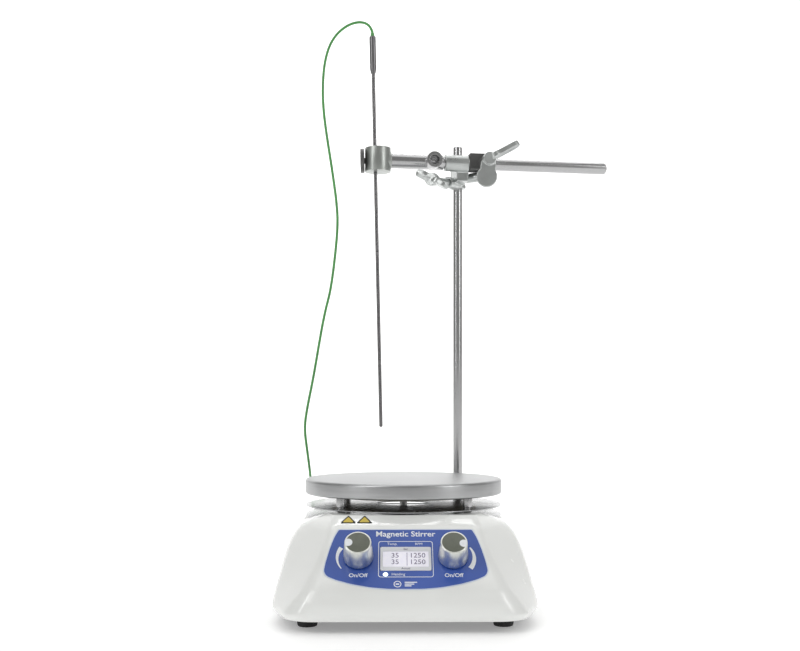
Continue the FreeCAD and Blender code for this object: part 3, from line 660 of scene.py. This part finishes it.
def panel_cutters():
    """Tools for the openings that the housing and the label share."""
    openings = [
        ("lcd_cut", rectangle(0, LCD_MIDDLE, LCD_HALF, LCD_REACH, CUT_CORNER)),
        ("knob_cut", circle(-KNOB_X, KNOB_V, KNOB_HOLE)),
        ("knob_cut", circle(KNOB_X, KNOB_V, KNOB_HOLE)),
        ("led_cut", circle(LAMP_X, LAMP_V, LAMP_HOLE)),
    ]
    return [prism(name, outline, -CUT_DEPTH, CUT_DEPTH, PANEL) for name, outline in openings]


def back_cutters():
    """Tools for the inlet, the main switch and the probe's socket."""
    inlet, rocker, socket = [back_x(n) for n in ("power_inlet", "switch_frame", "probe_socket")]
    openings = [
        ("inlet_cut", rectangle(inlet, 0, 14 * MM, 12 * MM, CUT_CORNER)),
        ("rocker_cut", rectangle(rocker, 0, 9.5 * MM, 6.5 * MM, CUT_CORNER)),
        ("socket_cut", circle(socket, 0, 6 * MM)),
    ]
    return [prism(name, outline, -CUT_DEPTH / 2, CUT_DEPTH, BACK) for name, outline in openings]


# Heights of the housing's rings, closer together where its profile bends, in millimetres.
SHELL_HEIGHTS = [
    9, 9.4, 10, 11, 12, 13, 14, 16, 19, 21, 22, 23, 25, 28, 29, 30, 31, 32, 38, 44, 46, 48,
    55, 57, 59, 62, 64, 66, 67.6, 68.6, 69.4, 70.2, 71.6, 73, 75, 77.6,
]
HOLLOW_HEIGHTS = [9, 12.5, 22, 30, 46, 57, 63]
HOLLOW_DROP = 0.05 * MM
RECESS_RADIUS, RECESS_FLOOR = 83 * MM, 66 * MM
ABOVE_ALL = 100 * MM
STANDOFF_REACH = 49 * MM
STANDOFF_SCREW_HOLE = 1.9 * MM
ROD_HOLE = 8.05 * MM
ROD_FLANGE_HOLE, ROD_FLANGE_FLOOR = 11.3 * MM, 71.5 * MM


def top_cutters():
    """Tools for the plate's recess, the rod's socket and the standoffs' screws."""
    profile = [(0, RECESS_FLOOR, 0), (RECESS_RADIUS, RECESS_FLOOR, 3 * MM),
               (RECESS_RADIUS, ABOVE_ALL, 0), (0, ABOVE_ALL, 0)]
    recess = lathe("recess", profile, Matrix.Identity(4), 160)
    rod = Vector(JOINTS["rod_swivel"]["pos_m"])
    seat = Matrix.Translation((rod.x, rod.y, 0))
    rod_hole = prism("rod_cut", circle(0, 0, ROD_HOLE), 50 * MM, ABOVE_ALL, seat)
    flange = prism("flange_cut", circle(0, 0, ROD_FLANGE_HOLE), ROD_FLANGE_FLOOR, ABOVE_ALL, seat)
    screws = []
    for x in (-STANDOFF_REACH, STANDOFF_REACH):
        for y in (-STANDOFF_REACH, STANDOFF_REACH):
            outline = circle(0, 0, STANDOFF_SCREW_HOLE, 24)
            place = Matrix.Translation((x, y, 0))
            screws.append(prism("screw_cut", outline, 50 * MM, 80 * MM, place))
    return recess, [rod_hole, flange] + screws


def make_housing():
    shell = housing_solid("white_housing", SHELL_HEIGHTS)
    hollow = housing_solid("hollow", HOLLOW_HEIGHTS, WALL, FRONT_RUN)
    hollow.data.transform(Matrix.Translation((0, 0, -HOLLOW_DROP)))
    recess, holes = top_cutters()
    subtract(shell, [hollow, recess] + panel_cutters() + back_cutters() + holes)
    bevelled(shell, 0.9 * MM, 3, 24)
    finished(shell, "base", "white_paint", ["housing_shell"], smooth=30)


make_housing()


# ---------------------------------------------------------------- feet, plate, shields, standoffs
def in_corners(name, node, reach, corners, segments):
    """A turned piece of this reach in each corner of a CAD node's box."""
    low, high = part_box(node)
    items = []
    for x in (low.x + reach, high.x - reach):
        for y in (low.y + reach, high.y - reach):
            items.append(lathe("turned", corners, Matrix.Translation((x, y, 0)), segments))
    return joined(name, items)


FOOT_RADIUS = 8.5 * MM
STANDOFF_RADIUS = 4 * MM


def make_feet():
    low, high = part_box("rubber_feet")
    top = high.z
    corners = [(0, 0.4 * MM, 0), (3.2 * MM, 0.4 * MM, 0.3 * MM), (3.6 * MM, 0, 0.3 * MM),
               (7 * MM, 0, 1.2 * MM), (FOOT_RADIUS, top - 1.4 * MM, 0.8 * MM),
               (FOOT_RADIUS - 1.2 * MM, top, 0.2 * MM), (0, top, 0)]
    feet = in_corners("rubber_feet_soft", "rubber_feet", FOOT_RADIUS, corners, 48)
    finished(feet, "base", "rubber", ["rubber_feet"])


def make_plate():
    low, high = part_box("hot_plate")
    radius = high.x
    corners = [(0, low.z, 0), (radius, low.z, 1.6 * MM), (radius, high.z, 2.4 * MM), (0, high.z, 0)]
    item = lathe("hot_plate_turned", corners, Matrix.Identity(4), 192, 8)
    item.data.materials.append(MATERIALS["plate_metal"])
    item.data.materials.append(MATERIALS["plate_side"])
    for face in item.data.polygons:
        face.material_index = 0 if face.normal.z > 0.9 else 1
    finished(item, "base", "plate_metal", ["hot_plate"])


SHIELD_HOLE = 22 * MM


def make_shield(node):
    """A thin flat disc with a wide hole."""
    low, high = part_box(node)
    radius, hole = high.x, SHIELD_HOLE
    corners = [(hole, low.z, 0), (radius, low.z, 0.25 * MM), (radius, high.z, 0.25 * MM),
               (hole, high.z, 0)]
    item = lathe(node + "_pressed", corners, Matrix.Identity(4), 192)
    finished(item, "base", "shield_metal", [node])


def make_standoffs():
    low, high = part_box("plate_standoffs")
    lower, upper = [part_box(n)[0].z for n in ("lower_heat_shield", "upper_heat_shield")]
    wide, narrow = STANDOFF_RADIUS, STANDOFF_RADIUS - MM
    edge = 0.3 * MM
    corners = [(0, low.z, 0), (wide, low.z, edge), (wide, lower - MM, edge), (narrow, lower, 0),
               (narrow, upper - 6 * MM, 0), (wide, upper - 5.6 * MM, edge),
               (wide, upper - MM, edge), (narrow, upper, 0), (narrow, high.z - 8 * MM, 0),
               (wide, high.z - 7.6 * MM, edge), (wide, high.z, edge), (0, high.z, 0)]
    pieces = in_corners("plate_standoffs_turned", "plate_standoffs", STANDOFF_RADIUS, corners, 40)
    finished(pieces, "base", "polished_steel", ["plate_standoffs"])


make_feet()
make_plate()
make_shield("upper_heat_shield")
make_shield("lower_heat_shield")
make_standoffs()


# ---------------------------------------------------------------- front panel
FILM = 0.4 * MM
FILM_BORDER = 0.7
PRINT = 0.03 * MM
DISPLAY_RIM = 0.75 * MM
DISPLAY_INK = 0.12 * MM
WINDOW_HALF, WINDOW_REACH, WINDOW_V = 16.35 * MM, 6.7 * MM, 27.5 * MM
WINDOW_DEPTH = 3 * MM
BORDER_V = 27.4 * MM
KNOB_MARK_REACH = 15.2 * MM
EMBLEM_X, EMBLEM_V = -6 * MM, 5.9 * MM
# Name, text, letter size, x, height up the panel and boldness of the words on the film.
FILM_WORDS = [
    ("title_text", "Magnetic Stirrer", 6.6, 0, 49.4, 0.10),
    ("left_switch_text", "On/Off", 4.5, -33.8, 13.2, 0.06),
    ("right_switch_text", "On/Off", 4.5, 33.8, 13.2, 0.06),
    ("temperature_text", "Temp.", 2.9, -9.5, 40.6, 0),
    ("speed_text", "RPM", 2.9, 9.5, 40.6, 0),
    ("lamp_text", "Heating", 3.1, -5.4, 14.2, 0),
]
# Name, reading, x and height up the panel of the numbers in the display's window.
READINGS = [
    ("temperature_set", "35", -7.6, 30.6),
    ("speed_set", "1250", 8.4, 30.6),
    ("temperature_actual", "35", -7.6, 24.9),
    ("speed_actual", "1250", 8.4, 24.9),
]
READING_SIZE = 5.8
HEADINGS = [("set_heading", "Set", 35.9), ("actual_heading", "Actual", 19)]
HEADING_SIZE = 2.4


def in_metres(corners):
    """Rows of millimetre sizes as tuples of metres."""
    return [tuple(size * MM for size in row) for row in corners]


def mirrored(right):
    """A closed outline from its right half, listed from the bottom up, in millimetres."""
    return in_metres(right + [(-x, y, radius) for x, y, radius in reversed(right)])


def label_outline(inset):
    """The film's outline, drawn in by inset millimetres."""
    right = [
        (12, 1.2 + inset, 60),
        (25, 2.5 + inset, 60),
        (38.3, 5.3 + inset, 60),
        (49.9 - 0.3 * inset, 8.9 + inset, 40),
        (56.8 - 0.8 * inset, 12.6 + 0.6 * inset, 6),
        (58.7 - inset, 17, 6),
        (57.7 - inset, 24.6, 40),
        (55.1 - inset, 36.6, 60),
        (52.3 - inset, 46.7, 40),
        (49.1 - inset, 54.1 - inset, 1.5),
    ]
    return rounded(mirrored(right), steps=6)


def make_label():
    # The edge piece shows as a pale rim round the blue film: a painted highlight along the label's edge.
    edge = prism("label_edge", label_outline(0), 0, FILM - 0.06 * MM, PANEL)
    subtract(edge, panel_cutters())
    finished(edge, "base", "blue_film", ["panel_label"], "film_edge_highlight")
    film = prism("label_film", label_outline(FILM_BORDER), 0.02 * MM, FILM, PANEL)
    subtract(film, panel_cutters())
    finished(film, "base", "blue_film")


def printed(name, outlines, height=FILM, material="white_print", slot="blue_film"):
    """Flat marks a hair's breadth proud of the film."""
    items = [prism("mark", outline, height - PRINT, height + PRINT, PANEL) for outline in outlines]
    finished(joined(name, items), "base", slot, material=material)


def ring_outline(outer, inner):
    """A frame between two outlines with the same number of points, as narrow quads."""
    count = len(outer)
    return [
        [outer[k], outer[(k + 1) % count], inner[(k + 1) % count], inner[k]] for k in range(count)
    ]


def crescent(centre_x, start, end, thin, thick):
    """A curved mark round a knob that widens from thin to thick."""
    outer, inner = [], []
    steps = 24
    for k in range(steps + 1):
        share = k / steps
        angle = math.radians(start + (end - start) * share)
        half = (thin + (thick - thin) * share ** 0.8) / 2
        outward = Vector((math.cos(angle), math.sin(angle)))
        centre = Vector((centre_x, KNOB_V))
        outer.append(centre + outward * (KNOB_MARK_REACH + half))
        inner.append(centre + outward * (KNOB_MARK_REACH - half))
    return outer + inner[::-1]


def words(name, text, size, x, v, height=FILM, material="white_print", slot="blue_film", weight=0):
    """Thin flat letters centred on a place of the panel, in millimetres."""
    curve = bpy.data.curves.new(name, "FONT")
    curve.body = text
    curve.size = size * MM
    curve.align_x, curve.align_y = "CENTER", "CENTER"
    curve.extrude = PRINT
    curve.offset = weight * MM
    curve.resolution_u = 3
    holder = linked(name + "_text", curve)
    graph = bpy.context.evaluated_depsgraph_get()
    mesh = bpy.data.meshes.new_from_object(holder.evaluated_get(graph))
    bpy.data.objects.remove(holder)
    mesh.transform(PANEL @ Matrix.Translation((x * MM, v * MM, height)))
    mesh.materials.clear()
    item = linked(name, mesh)
    tidy_normals(item)
    finished(item, "base", slot, material=material)


def make_marks():
    outer = rectangle(0, BORDER_V, 19.6 * MM, 15.7 * MM, 2.0 * MM)
    inner = rectangle(0, BORDER_V, 19.15 * MM, 15.25 * MM, 1.7 * MM)
    printed("display_border", ring_outline(outer, inner))
    left = crescent(-KNOB_X, 145, 218, 3.4 * MM, 0.7 * MM)
    right = crescent(KNOB_X, 35, -38, 1.0 * MM, 3.6 * MM)
    printed("turn_marks", [left, right])
    printed("stirring_emblem", emblem())
    for name, text, size, x, v, weight in FILM_WORDS:
        words(name, text, size, x, v, weight=weight)


def emblem():
    """A ring round a stirring bar, and three short lines beside it."""
    ring = ring_outline(
        circle(EMBLEM_X, EMBLEM_V, 2.7 * MM), circle(EMBLEM_X, EMBLEM_V, 2.1 * MM)
    )
    bar = rectangle(EMBLEM_X, EMBLEM_V, 1.3 * MM, 0.5 * MM, 0.4 * MM)
    lines = []
    for k in range(3):
        x, v = (3.4 - k) * MM, EMBLEM_V + (1.5 - 1.5 * k) * MM
        lines.append(rectangle(x, v, (4.4 - k) * MM, 0.42 * MM, 0.3 * MM))
    return ring + [bar] + lines


def make_bezel():
    """A frame with a rounded window, drawn as four rings of points."""
    outer = rectangle(0, LCD_MIDDLE, LCD_HALF - 0.1 * MM, LCD_REACH - 0.1 * MM, 1.4 * MM)
    inner = rectangle(0, WINDOW_V, WINDOW_HALF, WINDOW_REACH, 0.8 * MM)
    rings = [(outer, -WINDOW_DEPTH), (outer, DISPLAY_RIM), (inner, DISPLAY_RIM - 0.25 * MM),
             (inner, -WINDOW_DEPTH)]
    points = [(x, y, height) for outline, height in rings for x, y in outline]
    count = len(outer)
    faces = []
    for ring in range(len(rings)):
        for k in range(count):
            n = (k + 1) % count
            a, b = ring * count, ((ring + 1) % len(rings)) * count
            faces.append([a + k, a + n, b + n, b + k])
    bezel = from_data("display_bezel", points, faces, PANEL)
    tidy_normals(bezel)
    bevelled(bezel, 0.25 * MM, 3, 40)
    finished(bezel, "base", "pale_plastic", ["lcd_bezel"])


def make_display():
    make_bezel()
    gap = 0.05 * MM
    outline = rectangle(0, WINDOW_V, WINDOW_HALF - gap, WINDOW_REACH - gap, 0.7 * MM)
    screen = prism("display_screen", outline, -0.4 * MM, 0.1 * MM, PANEL)
    finished(screen, "base", "display_glass", ["lcd_window"])
    for name, text, x, v in READINGS:
        words(name, text, READING_SIZE, x, v, DISPLAY_INK, "display_ink", "display_glass")
    line = [rectangle(0.9 * MM, WINDOW_V, 0.2 * MM, 5.6 * MM, 0.05 * MM)]
    printed("display_divider", line, DISPLAY_INK, "display_ink", "display_glass")
    for name, text, v in HEADINGS:
        words(name, text, HEADING_SIZE, 0, v, DISPLAY_RIM, "display_ink", "pale_plastic")


def make_lamp():
    corners = in_metres([(0, -6, 0), (1.7, -6, 0), (1.7, 0.9, 1.2), (0, 1.2, 0)])
    place = PANEL @ Matrix.Translation((LAMP_X, LAMP_V, 0))
    finished(lathe("status_lamp", corners, place, 32), "base", "indicator", ["status_led"])


def brow_frame():
    """Origin at the top of the panel, Y up the slope to the plate's recess."""
    (low, near), (high, far) = [level[:2] for level in HOUSING_LEVELS[-2:]]
    slope = Vector((0, far - near, high - low))
    return axis_frame((0, near * MM, low * MM), (1, 0, 0), Vector((1, 0, 0)).cross(slope))


STICKER_V = 10.6
STICKER_PARTS = [("edge", 6.9, 0.25, "sticker_edge"), ("face", 4.8, 0.3, "sticker")]


def make_stickers():
    """Two triangles with dark edges, each a face on a slightly lower edge piece."""
    place = brow_frame()
    for side, x in (("left", -42), ("right", -30)):
        for part, size, height, material in STICKER_PARTS:
            turns = [math.radians(angle) for angle in (90, 210, 330)]
            corners = [(x + size * math.cos(a), STICKER_V + size * math.sin(a), 0.7) for a in turns]
            name = f"caution_{side}_{part}"
            item = prism(name, rounded(in_metres(corners)), 0, height * MM, place)
            replaced = ["caution_stickers"] if part == "edge" else []
            finished(item, "base", "sticker", replaced, material)


make_label()
make_marks()
make_display()
make_lamp()
make_stickers()


# ---------------------------------------------------------------- knobs
KNOB_FOOT, KNOB_TOP = 1.6 * MM, 18.6 * MM
KNOB_WIDE, KNOB_NARROW = 10.75 * MM, 9.5 * MM
KNOB_DISH = 0.35 * MM
KNOB_CAP_RADIUS = 8.5 * MM
NOTCH_REACH, NOTCH_RADIUS = 6.9 * MM, 3.1 * MM


def knob_notch(angle):
    """A round mark at the cap's edge, cut off where the knob ends."""
    centre = Vector((math.cos(angle), math.sin(angle))) * NOTCH_REACH
    limit = KNOB_NARROW - 0.35 * MM
    outline = circle(centre.x, centre.y, NOTCH_RADIUS)
    return [point * min(1, limit / point.length) for point in outline]


def make_knob(side, x, notch_angle):
    body = f"{side}_dial"
    place = PANEL @ Matrix.Translation((x, KNOB_V, 0))
    low, top, wide, narrow = KNOB_FOOT, KNOB_TOP, KNOB_WIDE, KNOB_NARROW
    dish = top - KNOB_DISH
    corners = [(0, low + 2 * MM, 0), (8.6 * MM, low + 2 * MM, 0.2 * MM), (8.8 * MM, low, 0.2 * MM),
               (wide, low, 0.5 * MM), (narrow, top, 0.6 * MM), (narrow - MM, top, 0.15 * MM),
               (narrow - 1.1 * MM, dish, 0.1 * MM), (0, dish, 0)]
    skirt = lathe(f"{side}_knob_turned", corners, place, 96)
    finished(skirt, body, "satin_knob", [f"{side}_knob"])
    cap = [(0, dish, 0), (KNOB_CAP_RADIUS, dish, 0.05 * MM),
           (KNOB_CAP_RADIUS, top - 0.05 * MM, 0.2 * MM), (0, top + 0.05 * MM, 0)]
    finished(lathe(f"{side}_knob_disc", cap, place, 96), body, "knob_cap", [f"{side}_knob_cap"])
    notch = knob_notch(notch_angle)
    item = prism(f"{side}_knob_notch", notch, top - 0.3 * MM, top + 0.16 * MM, place, 0.08 * MM)
    finished(item, body, "knob_cap", material="white_print")


make_knob("temp", -KNOB_X, math.radians(180))
make_knob("speed", KNOB_X, math.radians(-8))


# ---------------------------------------------------------------- support rod, its socket, arm
SOCKET_RADIUS, SOCKET_FLANGE = 8 * MM, 11 * MM
SOCKET_BORE = 4.05 * MM


def make_rod():
    low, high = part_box("support_rod")
    place = Matrix.Translation(((low.x + high.x) / 2, (low.y + high.y) / 2, 0))
    radius = (high.x - low.x) / 2
    corners = [(0, low.z, 0), (radius, low.z, 0.3 * MM), (radius, high.z - 0.6 * MM, 0.5 * MM),
               (radius - 0.8 * MM, high.z, 0.3 * MM), (0, high.z, 0)]
    finished(lathe("support_rod_turned", corners, place, 64), "rod", "polished_steel",
             ["support_rod"])
    bottom, top = [corner.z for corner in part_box("rod_socket")]
    shelf = top - 5 * MM
    floor = low.z - 0.05 * MM
    socket = [(0, bottom, 0), (SOCKET_RADIUS, bottom, 0.3 * MM), (SOCKET_RADIUS, shelf, 0),
              (SOCKET_FLANGE, shelf, 0.3 * MM), (SOCKET_FLANGE, top - 2.4 * MM, 0.8 * MM),
              (8.4 * MM, top, MM), (SOCKET_BORE, top, 0.4 * MM), (SOCKET_BORE, floor, 0),
              (0, floor, 0)]
    finished(lathe("rod_socket_turned", socket, place, 64), "base", "polished_steel",
             ["rod_socket"])


ARM_RADIUS = 5
ARM_LEFT, ARM_RIGHT = -45, 128.2
ARM_CHAMFER = 1.4


def make_arm():
    corners = [(0, ARM_LEFT, 0), (ARM_RADIUS, ARM_LEFT, 0.3),
               (ARM_RADIUS, ARM_RIGHT - ARM_CHAMFER, 0.4),
               (ARM_RADIUS - ARM_CHAMFER, ARM_RIGHT, 0.4), (0, ARM_RIGHT, 0)]
    item = lathe("arm_rod_turned", in_metres(corners), ARM_LINE, 64)
    finished(item, "arm", "polished_steel", ["arm_rod"])


# ---------------------------------------------------------------- boss head and probe clamp
# CAD node, body, material, voxel size and smoothing passes of the cast pieces.
CASTINGS = [
    ("boss_head", "head", "cast_zinc", 0.45, 5),
    # The jaw's dark colour is painted shade: its faces sit in shadow on the boss head's casting.
    ("boss_jaw", "head", "dark_metal", 0.45, 4),
    ("rod_wing_screw", "rod_screw", "cast_zinc", 0.4, 6),
    ("arm_wing_screw", "arm_screw", "cast_zinc", 0.4, 6),
]


def make_head():
    for node, body, slot, voxel, passes in CASTINGS:
        item = softened(node, node + "_cast", voxel * MM, passes)
        finished(item, body, slot, [node], smooth=80)


def make_clamp():
    for node, slot, width in (("clamp_head", "clamp_steel", 0.5),
                              ("clamp_stem", "polished_steel", 0.4)):
        item = edge_rounded(node, node + "_turned", width * MM)
        finished(item, "clamp", slot, [node])
    make_set_screw()
    profile = [(0, 1.85, 0), (2.5, 1.85, 0.2), (2.5, 9.3, 0), (10.25, 9.3, 0.6),
               (10.25, 12.5, 0.6), (0, 12.5, 0)]
    item = lathe("clamp_screw_turned", in_metres(profile), THUMB, 64)
    finished(item, "thumb", "dark_metal", ["clamp_screw"])


def make_set_screw():
    """A domed screw at the bottom of the stem's boss, facing out of it."""
    low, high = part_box("stem_set_screw")
    outward = -ARM.to_3x3().col[1]
    seat = axis_frame((low + high) / 2 - outward * 1.5 * MM, (0, 0, 1), outward)
    profile = [(0, 0, 0), (3.95, 0, 0), (3.95, 0.8, 0.2), (2.9, 0.9, 0), (2.3, 2.6, 1.2),
               (0, 3.2, 0)]
    item = lathe("stem_set_screw_domed", in_metres(profile), seat, 48)
    finished(item, "clamp", "dark_metal", ["stem_set_screw"], "polished_steel")


# ---------------------------------------------------------------- temperature probe
SHEATH_RADIUS = 1.5
SHEATH_TIP, SHEATH_TOP = -227.4, 77.5
HANDLE_RADIUS = 2.75


def make_probe():
    sheath = [(0, SHEATH_TIP, 0), (SHEATH_RADIUS - 0.3, SHEATH_TIP + 0.2, 0.6),
              (SHEATH_RADIUS, SHEATH_TIP + 1.3, 0.6), (SHEATH_RADIUS, SHEATH_TOP, 0),
              (0, SHEATH_TOP, 0)]
    item = lathe("probe_sheath_drawn", in_metres(sheath), PROBE, 40)
    finished(item, "probe", "probe_steel", ["probe_sheath"])
    groove = HANDLE_RADIUS - 0.2
    handle = [(0, 74.2, 0), (1.9, 74.2, 0.2), (HANDLE_RADIUS, 78, 0.6),
              (HANDLE_RADIUS, 81.4, 0.2), (groove, 81.7, 0.1), (groove, 82.3, 0.1),
              (HANDLE_RADIUS, 82.6, 0.2), (HANDLE_RADIUS, 105.2, 0.5), (2.2, 106, 0.3),
              (0, 106, 0)]
    item = lathe("probe_handle_turned", in_metres(handle), PROBE, 48)
    finished(item, "probe", "probe_steel", ["probe_handle"])


make_rod()
make_arm()
make_head()
make_clamp()
make_probe()


# ---------------------------------------------------------------- CAD nodes that keep their shape
def colour_cad_nodes():
    slots = {part["node"]: part["material_slot"] for part in frame["record"]["subparts"]}
    for name, item in NODES.items():
        material = MATERIALS[slots[name]]
        item.data.materials.clear()
        item.data.materials.append(material)


colour_cad_nodes()


# ---------------------------------------------------------------- floor and light
FLOOR_REACH = 6.0
BACKDROP_START, BACKDROP_RADIUS, BACKDROP_TOP = 2.2, 1.2, 5.0


def make_floor():
    """A pale floor that curves up into a backdrop."""
    nodes = Nodes("pale_floor")
    cloud = nodes.noise(3)
    tint = nodes.blend(nodes.spread(cloud, 0, 1), (0.90, 0.90, 0.90, 1), (0.93, 0.93, 0.93, 1))
    nodes.set(Base_Color=tint, Roughness=0.6, Emission_Color=tint, Emission_Strength=0.28)
    rows = [(-FLOOR_REACH, 0.0), (BACKDROP_START, 0.0)]
    steps = 16
    for k in range(1, steps + 1):
        angle = math.pi / 2 * k / steps
        along = BACKDROP_START + BACKDROP_RADIUS * math.sin(angle)
        rows.append((along, BACKDROP_RADIUS * (1 - math.cos(angle))))
    rows.append((BACKDROP_START + BACKDROP_RADIUS, BACKDROP_TOP))
    points = [(x, y, z) for y, z in rows for x in (-FLOOR_REACH, FLOOR_REACH)]
    faces = [[2 * k, 2 * k + 1, 2 * k + 3, 2 * k + 2] for k in range(len(rows) - 1)]
    item = from_data("backdrop", points, faces)
    item.data.materials.append(nodes.material)
    item.data.polygons.foreach_set("use_smooth", [True] * len(faces))


OBJECT_MIDDLE = (0, 0, 0.2)
BASE_MIDDLE = (0, 0, 0.08)
# Name, place, target, width, height and power of the lights.
LIGHTS = [
    ("key_light", (-1.2, -1.3, 1.6), OBJECT_MIDDLE, 1.0, 1.4, 9),
    ("fill_light", (1.5, -1.0, 1.1), OBJECT_MIDDLE, 0.9, 1.4, 5),
    ("left_strip", (-1.0, -0.75, 0.55), BASE_MIDDLE, 0.1, 0.8, 1.6),
    ("right_strip", (1.0, -0.75, 0.55), BASE_MIDDLE, 0.1, 0.8, 1.6),
    ("top_light", (0, 0.2, 2.0), OBJECT_MIDDLE, 1.6, 1.6, 8),
    ("backdrop_light", (0, 1.2, 2.4), (0, 3.4, 0.8), 3.0, 1.0, 60),
]


def area_light(name, place, target, width, height, power):
    data = bpy.data.lights.new(name, "AREA")
    data.shape = "RECTANGLE"
    data.size, data.size_y, data.energy = width, height, power
    item = bpy.data.objects.new(name, data)
    item.location = place
    item.rotation_euler = (Vector(target) - Vector(place)).to_track_quat("-Z", "Y").to_euler()
    bpy.context.scene.collection.objects.link(item)


def make_light():
    world = bpy.data.worlds.new("studio")
    bpy.context.scene.world = world
    world.use_nodes = True
    background = world.node_tree.nodes["Background"]
    background.inputs["Color"].default_value = (0.98, 0.98, 0.96, 1)
    background.inputs["Strength"].default_value = 0.30
    for light in LIGHTS:
        area_light(*light)
    bpy.context.scene.view_settings.view_transform = "Standard"


make_floor()
make_light()
